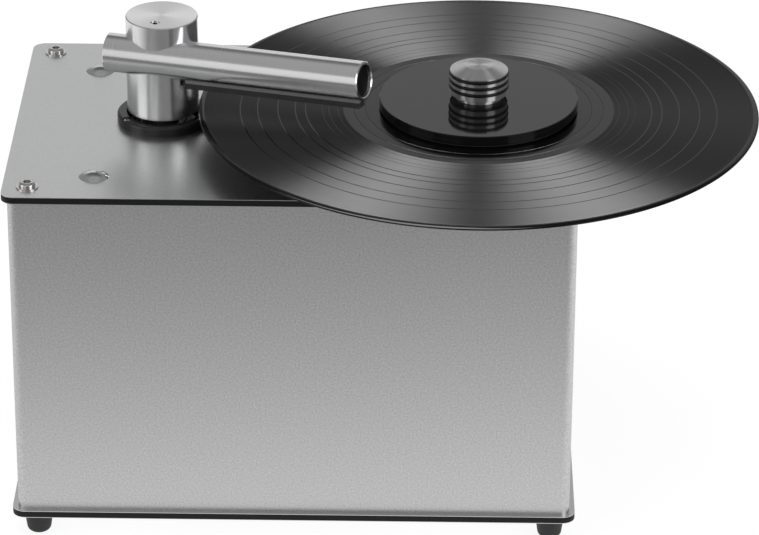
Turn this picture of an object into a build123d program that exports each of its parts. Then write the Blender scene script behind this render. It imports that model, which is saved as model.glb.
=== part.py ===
from build123d import *

import os
from math import acos, cos, hypot, pi, radians, sin, sqrt, tan

# A record cleaning machine: a sheet-metal cabinet between two composite panels, with a
# spring-raised suction arm on its left, a driven platter on its right, and inside it the
# waste tank, the suction fan and the platter's geared motor.
# Millimetres. Z is up from the surface that the feet stand on, X runs to the right and Y
# to the back. The origin is under the middle of the whole machine: the panel's left edge
# and the record's right edge are equally far from it, and Y = 0 is the spindle.

# ---------------------------------------------------------------- cabinet sizes
panel_w = 305.0
panel_d = 204.0
panel_t = 4.0
panel_corner_r = 7.0
skin_t = 0.3
body_h = 184.0
wrap_inset = 3.0
wrap_t = 1.5
wrap_corner_r = 5.0
return_w = 14.0
rear_lap = return_w - wrap_corner_r    # the turned-in edge is flat this far in from its bend
rear_gap = 0.5
screw_inset = 13.3
post_r = 6.0
foot_h = 14.5
foot_top_r = 8.25
foot_bottom_r = 6.2
foot_round = 3.4

# ---------------------------------------------------------------- fastener sizes
clear = 0.1                 # radial room round a screw in its hole
m3_r = 1.5
m3_head_r = 2.75
m3_head_h = 2.2
m6_r = 2.9
m6_head_r = 4.4
m6_head_h = 3.0
m6_brim_r = 5.9
m6_brim_t = 0.7
thread_depth = 14.0
pan_head_r = 2.8
pan_head_h = 1.8

# ---------------------------------------------------------------- record and platter
record_r = 150.5
record_t = 2.0
record_hole_r = 3.62
spindle_from_right = 54.9   # from the panel's right edge, which keeps the gearbox off the wall
spindle_from_front = 87.0
platter_gap = 3.75
platter_r = 50.0
platter_t = 8.0
mat_r = 49.0
mat_t = 2.0

# ---------------------------------------------------------------- arm sizes
column_r = 19.5
column_gap = 6.7            # the raised column's lower rim above the panel
column_h = 54.3
tube_r = 10.5
tube_bore_r = 8.6
tube_height = 41.1          # the tube's axis above the panel
tube_offset = 11.5          # the tube's axis in front of the column's axis
tube_end_gap = 1.5          # the tube's tip stops this far short of the clamp
tube_tail = 26.9
tube_yaw = 14.5
tip_cut_yaw = 9.0
tip_cut_pitch = 6.8
record_edge_gap = 1.3       # between the record's edge and the column
velvet_h = 3.1
velvet_bottom = 26.0        # raised velvet above the panel

# ---------------------------------------------------------------- clamp sizes
seal_t = 1.0
clamp_r = 53.4
clamp_t = 5.4
knob_r = 15.5
knob_neck_r = 12.8
knob_neck_h = 2.8
knob_side_h = 15.5
knob_h = 18.3
knob_flat_r = 7.4
ring_heights = (6.45, 10.15, 13.85)
ring_cord_r = 0.95

# ---------------------------------------------------------------- placed from the sizes
spindle_from_left = panel_w - spindle_from_right
overall_w = spindle_from_left + record_r
left_x = -overall_w / 2
front_y = -spindle_from_front
panel_x = left_x + panel_w / 2
panel_y = front_y + panel_d / 2
back_y = front_y + panel_d
base_bottom = foot_h
base_top = base_bottom + panel_t
deck_bottom = base_top + body_h
deck_top = deck_bottom + panel_t
spindle_x = left_x + spindle_from_left
spindle_y = 0.0
arm_y = panel_y
arm_from_spindle = record_r + record_edge_gap + column_r
arm_x = spindle_x - sqrt(arm_from_spindle**2 - (arm_y - spindle_y) ** 2)
tube_reach = arm_from_spindle - clamp_r - tube_end_gap
wrap_w = panel_w - 2 * wrap_inset
wrap_d = panel_d - 2 * wrap_inset
wrap_left = panel_x - wrap_w / 2
wrap_right = panel_x + wrap_w / 2
wrap_back = panel_y + wrap_d / 2
rear_outer = wrap_back - wrap_t
rear_inner = rear_outer - wrap_t
corner_dx = panel_w / 2 - screw_inset
corner_dy = panel_d / 2 - screw_inset
corners = [
    (panel_x + sx * corner_dx, panel_y + sy * corner_dy) for sx in (-1, 1) for sy in (-1, 1)
]

# The tank fills the left side under the arm, and the fan stands between it and the gearbox.
fan_r = 50.0
tank_x0 = wrap_left + 19.0
tank_x1 = arm_x + 54.5
tank_y0 = front_y + 12.0
tank_y1 = rear_inner - 16.0
tank_x = (tank_x0 + tank_x1) / 2
tank_y = (tank_y0 + tank_y1) / 2
tank_w = tank_x1 - tank_x0
tank_d = tank_y1 - tank_y0
fan_x = tank_x1 + 10.0 + fan_r
fan_y = rear_inner - 68.0

os.makedirs("parts", exist_ok=True)


def save(part, name):
    """Labels one finished piece and writes it to its own STEP file."""
    part.label = name
    export_step(part, f"parts/{name}.step")


def screw(x, y, z, shank_r, length, head_r, head_h, socket, dome=True, brim_r=0.0):
    """An upright socket screw whose head, brimmed if asked, rests on z; its shank hangs below."""
    with BuildPart() as piece:
        with BuildSketch(Plane.XY.offset(z)):
            with Locations((x, y)):
                Circle(head_r)
        extrude(amount=head_h)
        if dome:
            fillet(piece.edges().group_by(Axis.Z)[-1], head_h * 0.6)
        if brim_r:
            with BuildSketch(Plane.XY.offset(z)):
                with Locations((x, y)):
                    Circle(brim_r)
            extrude(amount=m6_brim_t)
        with BuildSketch(Plane.XY.offset(z + head_h)):
            with Locations((x, y)):
                RegularPolygon(socket / sqrt(3), 6)
        extrude(amount=-head_h * 0.7, mode=Mode.SUBTRACT)
        with BuildSketch(Plane.XY.offset(z)):
            with Locations((x, y)):
                Circle(shank_r)
        extrude(amount=-length)
    return piece.part


# ================================================================ dome bolts and arm holes
# Two square-necked dome bolts hold the waste tank's lid pillars under the deck.
dome_places = [(left_x + 47.2, front_y + 27.0), (left_x + 40.3, back_y - 38.0)]
dome_r = 8.0
dome_h = 3.0
neck_side = 5.8
neck_hole = 6.0
guide_hole_r = 20.25
flange_r = 25.0
flange_t = 5.2
flange_bore_r = 20.0
flange_screw_r = 22.45
flange_head_r = 2.25
flange_screw_angles = (213.0, 333.0, 93.0)
flange_screws_xy = [
    (arm_x + flange_screw_r * cos(radians(a)), arm_y + flange_screw_r * sin(radians(a)))
    for a in flange_screw_angles
]

# ================================================================ gearbox layout
# The platter's gearbox hangs under the deck with its idler shaft in front of the spindle.
gear_module = 0.75
pinion_teeth = 16
wheel_teeth = 48
gear_face = 5.0
gear_backlash = 0.16
gear_addendum = 0.8
gear_dedendum = 1.2
gear_centres = gear_module * (pinion_teeth + wheel_teeth) / 2
wheel_tip_r = gear_module * (wheel_teeth / 2 + gear_addendum)
gear_room = 1.4
gearbox_wall = 3.0
gearbox_cavity_r = wheel_tip_r + gear_room
gearbox_outer_r = gearbox_cavity_r + gearbox_wall
gearbox_cover_t = 3.0
gearbox_flange_t = 3.0
gearbox_depth = 20.0
gear_level_gap = 2.0
gear_floor_gap = 1.5
spindle_shaft_r = 4.0
bearing_clear = 0.05
boss_r = 9.0
boss_room = 0.2
idler_y = spindle_y - gear_centres
gearbox_y = (spindle_y + idler_y) / 2
mount_dx = 24.0
mount_dy = 36.0
mount_screws = [
    (spindle_x + sx * mount_dx, gearbox_y + sy * mount_dy) for sx in (-1, 1) for sy in (-1, 1)
]
mount_corner_r = 6.0
mount_edge = 6.0
cover_bottom = deck_bottom - gearbox_cover_t
housing_bottom = cover_bottom - gearbox_depth


def deck_plate(z, thickness):
    """One layer of the deck panel with every hole that passes through it."""
    with BuildPart() as plate:
        with BuildSketch(Plane.XY.offset(z)):
            with Locations((panel_x, panel_y)):
                RectangleRounded(panel_w, panel_d, panel_corner_r)
            with Locations(*corners):
                Circle(m6_r + clear, mode=Mode.SUBTRACT)
            with Locations(*dome_places):
                Rectangle(neck_hole, neck_hole, mode=Mode.SUBTRACT)
            with Locations((arm_x, arm_y)):
                Circle(guide_hole_r, mode=Mode.SUBTRACT)
            with Locations(*flange_screws_xy):
                Circle(m3_r + clear, mode=Mode.SUBTRACT)
            with Locations((spindle_x, spindle_y)):
                Circle(boss_r + boss_room, mode=Mode.SUBTRACT)
            with Locations(*mount_screws):
                Circle(m3_r + clear, mode=Mode.SUBTRACT)
        extrude(amount=thickness)
    return plate.part


def base_plate(z, thickness):
    """One layer of the base panel with the holes of its feet."""
    with BuildPart() as plate:
        with BuildSketch(Plane.XY.offset(z)):
            with Locations((panel_x, panel_y)):
                RectangleRounded(panel_w, panel_d, panel_corner_r)
            with Locations(*corners):
                Circle(m6_r + clear, mode=Mode.SUBTRACT)
        extrude(amount=thickness)
    return plate.part


# ================================================================ composite panels
# Each panel is a black polyethylene core between two thin aluminium skins.
save(deck_plate(deck_bottom + skin_t, panel_t - 2 * skin_t), "deck_core")
save(
    Part(children=[deck_plate(deck_bottom, skin_t), deck_plate(deck_top - skin_t, skin_t)]),
    "deck_skins",
)
save(base_plate(base_bottom + skin_t, panel_t - 2 * skin_t), "base_core")
save(
    Part(children=[base_plate(base_bottom, skin_t), base_plate(base_top - skin_t, skin_t)]),
    "base_skins",
)

# ================================================================ side openings
# Two rocker switches stand one behind the other in the cabinet's left side.
switch_z = base_top + 142.0
switch_ys = (front_y + 40.0, front_y + 66.0)
bezel_w = 15.0
bezel_h = 21.0
bezel_t = 1.2
switch_body_w = 13.0
switch_body_h = 19.0
switch_body_d = 18.0
switch_room = 0.15

# ================================================================ cabinet wrap
# One bent sheet makes the front and both sides and turns in at the back.
with BuildPart() as wrap:
    with BuildSketch(Plane.XY.offset(base_top)):
        with Locations((panel_x, panel_y)):
            RectangleRounded(wrap_w, wrap_d, wrap_corner_r)
            RectangleRounded(
                wrap_w - 2 * wrap_t, wrap_d - 2 * wrap_t, wrap_corner_r - wrap_t, mode=Mode.SUBTRACT
            )
        with Locations((panel_x, wrap_back)):
            Rectangle(wrap_w - 2 * return_w, 4 * wrap_t, mode=Mode.SUBTRACT)
    extrude(amount=body_h)
    with BuildSketch(Plane.YZ.offset(wrap_left - wrap_t)):
        with Locations(*[(y, switch_z) for y in switch_ys]):
            Rectangle(switch_body_w + 2 * switch_room, switch_body_h + 2 * switch_room)
    extrude(amount=3 * wrap_t, mode=Mode.SUBTRACT)
    rear_screw_x = (wrap_left + return_w - rear_lap / 2, wrap_right - return_w + rear_lap / 2)
    rear_screw_z = (base_top + 22.0, base_top + body_h / 2, deck_bottom - 22.0)
    rear_screws_xz = [(x, z) for x in rear_screw_x for z in rear_screw_z]
    with BuildSketch(Plane.XZ.offset(-wrap_back - wrap_t)):
        with Locations(*rear_screws_xz):
            Circle(m3_r + clear)
    extrude(amount=3 * wrap_t, mode=Mode.SUBTRACT)
save(wrap.part, "cabinet_wrap")

# ================================================================ rear panel
# A flat plate behind the wrap's turned-in edges, with the inlet, exhaust and drain holes.
inlet_x = wrap_right - 44.0
inlet_z = base_top + 34.0
inlet_body_w = 28.0
inlet_body_h = 34.0
inlet_room = 0.15
exhaust_x = fan_x
exhaust_z = base_top + 62.0
exhaust_w = 40.0
exhaust_h = 22.0
duct_wall = 2.0
drain_x = tank_x
drain_z = base_top + 14.0
drain_r = 9.0
drain_room = 0.5
peg_r = 1.5
peg_dx = 26.0
peg_dz = 16.0
pegs = [(exhaust_x + sx * peg_dx, exhaust_z + sz * peg_dz) for sx in (-1, 1) for sz in (-1, 1)]
with BuildPart() as rear:
    with BuildSketch(Plane.XZ.offset(-rear_outer)):
        with Locations((panel_x, base_top + body_h / 2)):
            Rectangle(wrap_w - 2 * return_w + 2 * rear_lap, body_h - 2 * rear_gap)
        with Locations(*rear_screws_xz):
            Circle(m3_r + clear, mode=Mode.SUBTRACT)
        with Locations((inlet_x, inlet_z)):
            Rectangle(
                inlet_body_w + 2 * inlet_room, inlet_body_h + 2 * inlet_room, mode=Mode.SUBTRACT
            )
        with Locations((exhaust_x, exhaust_z)):
            Rectangle(exhaust_w - 2 * duct_wall, exhaust_h - 2 * duct_wall, mode=Mode.SUBTRACT)
        with Locations((drain_x, drain_z)):
            Circle(drain_r + drain_room, mode=Mode.SUBTRACT)
        with Locations(*pegs):
            Circle(peg_r + clear, mode=Mode.SUBTRACT)
    extrude(amount=wrap_t)
save(rear.part, "rear_panel")

# Pan-head screws through the wrap's rear edges into the rear panel.
with BuildPart() as rear_screws:
    with BuildSketch(Plane.XZ.offset(-wrap_back)):
        with Locations(*rear_screws_xz):
            Circle(pan_head_r)
    extrude(amount=-pan_head_h)
    fillet(rear_screws.edges().group_by(Axis.Y)[-1], pan_head_h * 0.6)
    with BuildSketch(Plane.XZ.offset(-wrap_back)):
        with Locations(*rear_screws_xz):
            Circle(m3_r)
    extrude(amount=2 * wrap_t + 1.0)
save(rear_screws.part, "rear_screws")

# ================================================================ posts, deck screws and feet
with BuildPart() as posts:
    with BuildSketch(Plane.XY.offset(base_top)):
        with Locations(*corners):
            Circle(post_r)
    extrude(amount=body_h)
    for z, way in ((base_top, 1), (deck_bottom, -1)):
        with BuildSketch(Plane.XY.offset(z)):
            with Locations(*corners):
                Circle(m6_r + clear)
        extrude(amount=way * (thread_depth + 2.0), mode=Mode.SUBTRACT)
save(posts.part, "corner_posts")

save(
    Part(
        children=[
            screw(x, y, deck_top, m6_r, panel_t + thread_depth, m6_head_r, m6_head_h, 4.0, brim_r=m6_brim_r)
            for x, y in corners
        ]
    ),
    "deck_screws",
)

# Moulded rubber feet, each bonded round the disc head of its own threaded stud.
stud_head_r = 5.0
stud_head_h = 2.0
with BuildPart() as feet:
    for x, y in corners:
        with BuildSketch(Plane.XZ.offset(-y)):
            with BuildLine():
                Polyline(
                    (x, 0),
                    (x + foot_bottom_r, 0),
                    (x + foot_top_r, foot_h),
                    (x + stud_head_r, foot_h),
                    (x + stud_head_r, foot_h - stud_head_h),
                    (x, foot_h - stud_head_h),
                    close=True,
                )
            make_face()
        revolve(axis=Axis((x, y, 0), (0, 0, 1)))
    fillet(feet.edges().group_by(Axis.Z)[0], foot_round)
save(feet.part, "rubber_feet")

with BuildPart() as studs:
    with BuildSketch(Plane.XY.offset(foot_h - stud_head_h)):
        with Locations(*corners):
            Circle(stud_head_r)
    extrude(amount=stud_head_h)
    with BuildSketch(Plane.XY.offset(foot_h)):
        with Locations(*corners):
            Circle(m6_r)
    extrude(amount=panel_t + thread_depth)
save(studs.part, "foot_studs")

# ================================================================ arm guide and flange
# The black flange on the deck and the cup under it share three screws. The cup's long bush
# guides the arm's hollow stem, and its floor carries the lift spring.
guide_floor_depth = 10.0    # from the panel's top down to the cup's floor
guide_floor_t = 4.0
guide_bush_r = 12.0
guide_depth = 40.0
stem_r = 8.0
stem_bore_r = 6.0
run_clear = 0.05
spring_ceiling = 22.0       # the column's inner shoulder above the panel
stem_top = 29.0
spring_room_r = 15.0
guide_floor_z = deck_top - guide_floor_depth
with BuildPart() as guide:
    with BuildSketch(Plane.XY.offset(guide_floor_z - guide_floor_t)):
        with Locations((arm_x, arm_y)):
            Circle(flange_r)
    extrude(amount=deck_bottom - guide_floor_z + guide_floor_t)
    with BuildSketch(Plane.XY.offset(guide_floor_z)):
        with Locations((arm_x, arm_y)):
            Circle(flange_bore_r)
    extrude(amount=guide_floor_depth, mode=Mode.SUBTRACT)
    with BuildSketch(Plane.XY.offset(deck_top - guide_depth)):
        with Locations((arm_x, arm_y)):
            Circle(guide_bush_r)
    extrude(amount=guide_depth - guide_floor_depth)
    with BuildSketch(Plane.XY.offset(deck_top - guide_depth)):
        with Locations((arm_x, arm_y)):
            Circle(stem_r + run_clear)
    extrude(amount=guide_depth, mode=Mode.SUBTRACT)
    with BuildSketch(Plane.XY.offset(deck_bottom)):
        with Locations(*flange_screws_xy):
            Circle(m3_r + clear)
    extrude(amount=-(guide_floor_depth - panel_t), mode=Mode.SUBTRACT)
save(guide.part, "arm_guide")

flange_edge = 1.6
flange_head_sink = 2.4
with BuildPart() as flange:
    with BuildSketch(Plane.XY.offset(deck_top)):
        with Locations((arm_x, arm_y)):
            Circle(flange_r)
            Circle(flange_bore_r, mode=Mode.SUBTRACT)
    extrude(amount=flange_t)
    fillet(flange.edges().group_by(Axis.Z)[-1].sort_by(SortBy.RADIUS)[-1], flange_edge)
    with BuildSketch(Plane.XY.offset(deck_top + flange_t)):
        with Locations(*flange_screws_xy):
            Circle(m3_r + clear)
    extrude(amount=-flange_t, mode=Mode.SUBTRACT)
    with BuildSketch(Plane.XY.offset(deck_top + flange_t)):
        with Locations(*flange_screws_xy):
            Circle(flange_head_r + clear)
    extrude(amount=-flange_head_sink, mode=Mode.SUBTRACT)
save(flange.part, "arm_flange")

flange_seat = deck_top + flange_t - flange_head_sink
save(
    Part(
        children=[
            screw(
                x, y, flange_seat, m3_r, flange_seat - deck_bottom + 5.0, flange_head_r, m3_head_h, 2.0
            )
            for x, y in flange_screws_xy
        ]
    ),
    "flange_screws",
)

# ================================================================ arm column
# A solid turned column: a cross bore in front of its axis takes the tube, a room from
# below takes the spring, and an air channel joins the tube to the stem.
yaw = radians(tube_yaw)
along = Vector(cos(yaw), -sin(yaw), 0)
front = Vector(-sin(yaw), -cos(yaw), 0)
up = Vector(0, 0, 1)
tube_foot = Vector(arm_x, arm_y, deck_top + tube_height) + front * tube_offset
tube_frame = Plane(origin=tube_foot, x_dir=front * -1, z_dir=along)
column_z = deck_top + column_gap
column_top = column_z + column_h
channel_r = 5.0
channel_top = tube_height + 3.0
tube_fit = 0.02
grub_r = 2.5
grub_recess = 0.4
grub_length = column_top - grub_recess - (deck_top + tube_height + tube_r)
with BuildPart() as column:
    with BuildSketch(Plane.XY.offset(column_z)):
        with Locations((arm_x, arm_y)):
            Circle(column_r)
    extrude(amount=column_h)
    chamfer(column.edges(), 0.5)
    with BuildSketch(Plane.XY.offset(column_z)):
        with Locations((arm_x, arm_y)):
            Circle(spring_room_r)
    extrude(amount=spring_ceiling - column_gap, mode=Mode.SUBTRACT)
    with BuildSketch(Plane.XY.offset(deck_top + spring_ceiling)):
        with Locations((arm_x, arm_y)):
            Circle(stem_r + tube_fit)
    extrude(amount=stem_top - spring_ceiling, mode=Mode.SUBTRACT)
    with BuildSketch(Plane.XY.offset(deck_top + stem_top)):
        with Locations((arm_x, arm_y)):
            Circle(channel_r)
    extrude(amount=channel_top - stem_top, mode=Mode.SUBTRACT)
    with BuildSketch(tube_frame):
        Circle(tube_r + tube_fit)
    extrude(amount=2 * column_r, both=True, mode=Mode.SUBTRACT)
    with BuildSketch(Plane.XY.offset(column_top)):
        with Locations((tube_foot.X, tube_foot.Y)):
            Circle(grub_r + clear)
    extrude(amount=-(column_top - deck_top - tube_height), mode=Mode.SUBTRACT)
save(column.part, "arm_column")

with BuildPart() as grub:
    with BuildSketch(Plane.XY.offset(column_top - grub_recess)):
        with Locations((tube_foot.X, tube_foot.Y)):
            Circle(grub_r)
    extrude(amount=-grub_length)
    with BuildSketch(Plane.XY.offset(column_top - grub_recess)):
        with Locations((tube_foot.X, tube_foot.Y)):
            RegularPolygon(2.5 / sqrt(3), 6)
    extrude(amount=-3.0, mode=Mode.SUBTRACT)
save(grub.part, "tube_set_screw")

# ================================================================ arm tube and its plugs
# The tube's far end is cut a little aslant, turned to the front and up.
tip_normal = along + front * tan(radians(tip_cut_yaw)) + up * tan(radians(tip_cut_pitch))
tip_spare = 5.0
port_low = 30.0
slot_w = 1.0
slot_start = 18.5
slot_end_gap = 5.0
plug_recess = 2.0
plug_t = 4.0
rim_chamfer = 0.45


def tip_plane(setback):
    """The aslant end plane of the tube, moved back along the tube by setback."""
    return Plane(origin=tube_foot + along * (tube_reach - setback), z_dir=tip_normal)


with BuildPart() as tube:
    with BuildSketch(tube_frame.offset(-tube_tail)):
        Circle(tube_r)
        Circle(tube_bore_r, mode=Mode.SUBTRACT)
    extrude(amount=tube_tail + tube_reach + tip_spare)
    split(bisect_by=tip_plane(0.0), keep=Keep.BOTTOM)
    end_faces = tube.faces().filter_by(GeomType.PLANE)
    chamfer(end_faces.edges(), rim_chamfer)
    with BuildSketch(Plane.XY.offset(deck_top + port_low)):
        with Locations((arm_x, arm_y)):
            Circle(channel_r)
    extrude(amount=channel_top - port_low, mode=Mode.SUBTRACT)
    with BuildSketch(tube_frame.offset(slot_start)):
        with Locations((0, -tube_r)):
            Rectangle(slot_w, tube_r)
    extrude(amount=tube_reach - slot_end_gap - slot_start, mode=Mode.SUBTRACT)
save(tube.part, "arm_tube")

with BuildPart() as plugs:
    with BuildSketch(tube_frame.offset(-tube_tail + plug_recess)):
        Circle(tube_bore_r - tube_fit)
    extrude(amount=plug_t)
    with BuildSketch(tube_frame.offset(tube_reach - plug_recess - plug_t - tip_spare)):
        Circle(tube_bore_r - tube_fit)
    extrude(amount=plug_t + 2 * tip_spare)
    split(bisect_by=tip_plane(plug_recess), keep=Keep.BOTTOM)
save(plugs.part, "tube_end_plugs")

# ================================================================ suction strips
# Two stiff backings follow the tube's underside each side of the slot, and each carries a
# velvet pad that sweeps the record.
strip_half_w = 3.0
strip_start = 17.3
strip_end_gap = 3.2
backing_low = velvet_bottom + velvet_h - tube_height
velvet_low = velvet_bottom - tube_height
strip_w = strip_half_w - slot_w / 2
strip_x = (strip_half_w + slot_w / 2) / 2
with BuildPart() as backings:
    with BuildSketch(tube_frame.offset(strip_start)):
        with Locations((-strip_x, (backing_low - tube_r / 2) / 2), (strip_x, (backing_low - tube_r / 2) / 2)):
            Rectangle(strip_w, -tube_r / 2 - backing_low)
        Circle(tube_r + tube_fit, mode=Mode.SUBTRACT)
    extrude(amount=tube_reach + tip_spare - strip_start)
    split(bisect_by=tip_plane(strip_end_gap), keep=Keep.BOTTOM)
save(backings.part, "strip_backings")

with BuildPart() as velvet:
    with BuildSketch(tube_frame.offset(strip_start)):
        with Locations((-strip_x, velvet_low + velvet_h / 2), (strip_x, velvet_low + velvet_h / 2)):
            Rectangle(strip_w, velvet_h)
    extrude(amount=tube_reach + tip_spare - strip_start)
    split(bisect_by=tip_plane(strip_end_gap), keep=Keep.BOTTOM)
save(velvet.part, "velvet_strips")

# ================================================================ waste tank
# The tank stands on the base panel under the arm. Its lid hangs from the deck by two
# pillars, which the dome bolts hold, and the arm's stem drops into its lipped socket.
tank_h = 105.0
tank_wall = 3.0
tank_corner_r = 8.0
tank_boss_r = 5.5
gasket_t = 2.0
lid_t = 4.0
tank_top = base_top + tank_h
lid_z = tank_top + gasket_t
lid_top = lid_z + lid_t
boss_inset = 9.0
lid_screws_xy = [
    (tank_x + sx * (tank_w / 2 - boss_inset), tank_y + sy * (tank_d / 2 - boss_inset))
    for sx in (-1, 1)
    for sy in (-1, 1)
]
spigot_r = 6.0
spigot_bore_r = 4.0
spigot_end = back_y + 8.0
with BuildPart() as tank:
    with BuildSketch(Plane.XY.offset(base_top)):
        with Locations((tank_x, tank_y)):
            RectangleRounded(tank_w, tank_d, tank_corner_r)
    extrude(amount=tank_h)
    with BuildSketch(Plane.XY.offset(base_top + tank_wall)):
        with Locations((tank_x, tank_y)):
            RectangleRounded(tank_w - 2 * tank_wall, tank_d - 2 * tank_wall, tank_corner_r - tank_wall)
        with Locations(*lid_screws_xy):
            Circle(tank_boss_r, mode=Mode.SUBTRACT)
    extrude(amount=tank_h - tank_wall, mode=Mode.SUBTRACT)
    with BuildSketch(Plane.XY.offset(tank_top)):
        with Locations(*lid_screws_xy):
            Circle(m3_r + clear)
    extrude(amount=-thread_depth, mode=Mode.SUBTRACT)
    with BuildSketch(Plane.XZ.offset(-tank_y1)):
        with Locations((drain_x, drain_z)):
            Circle(spigot_r)
    extrude(amount=-(spigot_end - tank_y1))
    with BuildSketch(Plane.XZ.offset(-spigot_end)):
        with Locations((drain_x, drain_z)):
            Circle(spigot_bore_r)
    extrude(amount=spigot_end - tank_y1 + 2 * tank_wall, mode=Mode.SUBTRACT)
save(tank.part, "waste_tank")

socket_r = 14.5
socket_h = 10.0
seal_r = 12.0
seal_depth = 6.0
stem_room = 0.3
pillar_r = 7.0
air_x = tank_x1 - 23.0
air_y = tank_y1 - 22.0
hose_spigot_r = 10.0
hose_spigot_bore_r = 7.5
hose_spigot_h = 14.0
with BuildPart() as lid:
    with BuildSketch(Plane.XY.offset(lid_z)):
        with Locations((tank_x, tank_y)):
            RectangleRounded(tank_w, tank_d, tank_corner_r)
    extrude(amount=lid_t)
    with BuildSketch(Plane.XY.offset(lid_z)):
        with Locations((arm_x, arm_y)):
            Circle(socket_r)
    extrude(amount=lid_t + socket_h)
    with BuildSketch(Plane.XY.offset(lid_z)):
        with Locations((air_x, air_y)):
            Circle(hose_spigot_r)
    extrude(amount=lid_t + hose_spigot_h)
    with BuildSketch(Plane.XY.offset(lid_z)):
        with Locations(*dome_places):
            Circle(pillar_r)
    extrude(amount=deck_bottom - lid_z)
    with BuildSketch(Plane.XY.offset(lid_z)):
        with Locations((arm_x, arm_y)):
            Circle(stem_r + stem_room)
        with Locations((air_x, air_y)):
            Circle(hose_spigot_bore_r)
        with Locations(*lid_screws_xy):
            Circle(m3_r + clear)
    extrude(amount=lid_t + hose_spigot_h, mode=Mode.SUBTRACT)
    with BuildSketch(Plane.XY.offset(lid_top + socket_h)):
        with Locations((arm_x, arm_y)):
            Circle(seal_r)
    extrude(amount=-seal_depth, mode=Mode.SUBTRACT)
    with BuildSketch(Plane.XY.offset(deck_bottom)):
        with Locations(*dome_places):
            Circle(m6_r + clear)
    extrude(amount=-thread_depth, mode=Mode.SUBTRACT)
save(lid.part, "tank_lid")

with BuildPart() as seals:
    with BuildSketch(Plane.XY.offset(tank_top)):
        with Locations((tank_x, tank_y)):
            RectangleRounded(tank_w, tank_d, tank_corner_r)
            RectangleRounded(
                tank_w - 2 * tank_wall,
                tank_d - 2 * tank_wall,
                tank_corner_r - tank_wall,
                mode=Mode.SUBTRACT,
            )
        with Locations(*lid_screws_xy):
            Circle(tank_boss_r)
            Circle(m3_r + clear, mode=Mode.SUBTRACT)
    extrude(amount=gasket_t)
    with BuildSketch(Plane.XY.offset(lid_top + socket_h - seal_depth)):
        with Locations((arm_x, arm_y)):
            Circle(seal_r - tube_fit)
            Circle(stem_r + 1.2 * run_clear, mode=Mode.SUBTRACT)
    extrude(amount=seal_depth)
save(seals.part, "tank_seals")

save(
    Part(
        children=[
            screw(x, y, lid_top, m3_r, lid_t + gasket_t + 8.0, m3_head_r, m3_head_h, 2.5)
            for x, y in lid_screws_xy
        ]
    ),
    "lid_screws",
)

# Dome bolts: low round heads on the deck, square necks in it, threads in the lid's pillars.
dome_length = 12.0
with BuildPart() as domes:
    for x, y in dome_places:
        sphere_r = (dome_r**2 + dome_h**2) / (2 * dome_h)
        with BuildSketch(Plane.XZ.offset(-y)):
            with BuildLine():
                Line((x, deck_top), (x + dome_r, deck_top))
                RadiusArc((x + dome_r, deck_top), (x, deck_top + dome_h), -sphere_r)
                Line((x, deck_top + dome_h), (x, deck_top))
            make_face()
        revolve(axis=Axis((x, y, 0), (0, 0, 1)))
    with BuildSketch(Plane.XY.offset(deck_top)):
        with Locations(*dome_places):
            Rectangle(neck_side, neck_side)
    extrude(amount=-panel_t)
    with BuildSketch(Plane.XY.offset(deck_bottom)):
        with Locations(*dome_places):
            Circle(m6_r)
    extrude(amount=-dome_length)
save(domes.part, "dome_bolts")

# A rubber cap is pushed over the tank's drain spigot behind the cabinet.
cap_wall = 2.0
cap_start = spigot_end - 9.0
with BuildPart() as drain_cap:
    with BuildSketch(Plane.XZ.offset(-cap_start)):
        with Locations((drain_x, drain_z)):
            Circle(spigot_r + cap_wall)
    extrude(amount=-(spigot_end - cap_start + cap_wall + 0.3))
    with BuildSketch(Plane.XZ.offset(-cap_start)):
        with Locations((drain_x, drain_z)):
            Circle(spigot_r + run_clear)
    extrude(amount=-(spigot_end - cap_start + 0.3), mode=Mode.SUBTRACT)
save(drain_cap.part, "drain_cap")

# ================================================================ arm stem and lift spring
stem_dip = 6.0
stem_bottom = lid_z - stem_dip
with BuildPart() as stem:
    with BuildSketch(Plane.XY.offset(stem_bottom)):
        with Locations((arm_x, arm_y)):
            Circle(stem_r)
            Circle(stem_bore_r, mode=Mode.SUBTRACT)
    extrude(amount=deck_top + stem_top - stem_bottom)
save(stem.part, "arm_stem")

collar_r = 13.0
collar_h = 7.0
collar_gap = 0.3
with BuildPart() as collar:
    with BuildSketch(Plane.XY.offset(deck_top - guide_depth - collar_gap)):
        with Locations((arm_x, arm_y)):
            Circle(collar_r)
            Circle(stem_r + tube_fit, mode=Mode.SUBTRACT)
    extrude(amount=-collar_h)
save(collar.part, "stem_collar")

washer_t = 2.0
washer_clear = 0.3
with BuildPart() as washer:
    with BuildSketch(Plane.XY.offset(deck_top + spring_ceiling - washer_t)):
        with Locations((arm_x, arm_y)):
            Circle(spring_room_r - washer_clear)
            Circle(stem_r + washer_clear, mode=Mode.SUBTRACT)
    extrude(amount=washer_t)
save(washer.part, "thrust_washer")

spring_wire_r = 0.9
spring_mean_r = 12.0
spring_turns = 6
spring_seat_gap = 0.1
spring_height = spring_ceiling - washer_t + guide_floor_depth - 2 * (spring_wire_r + spring_seat_gap)
spring_start = Vector(arm_x + spring_mean_r, arm_y, guide_floor_z + spring_wire_r + spring_seat_gap)
with BuildPart() as spring:
    with BuildLine() as coil:
        Helix(
            pitch=spring_height / spring_turns,
            height=spring_height,
            radius=spring_mean_r,
            center=(arm_x, arm_y, spring_start.Z),
        )
    with BuildSketch(Plane(origin=spring_start, z_dir=coil.line @ 0.001 - coil.line @ 0)):
        Circle(spring_wire_r)
    sweep(path=coil.line, is_frenet=True)
save(spring.part, "lift_spring")

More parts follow.
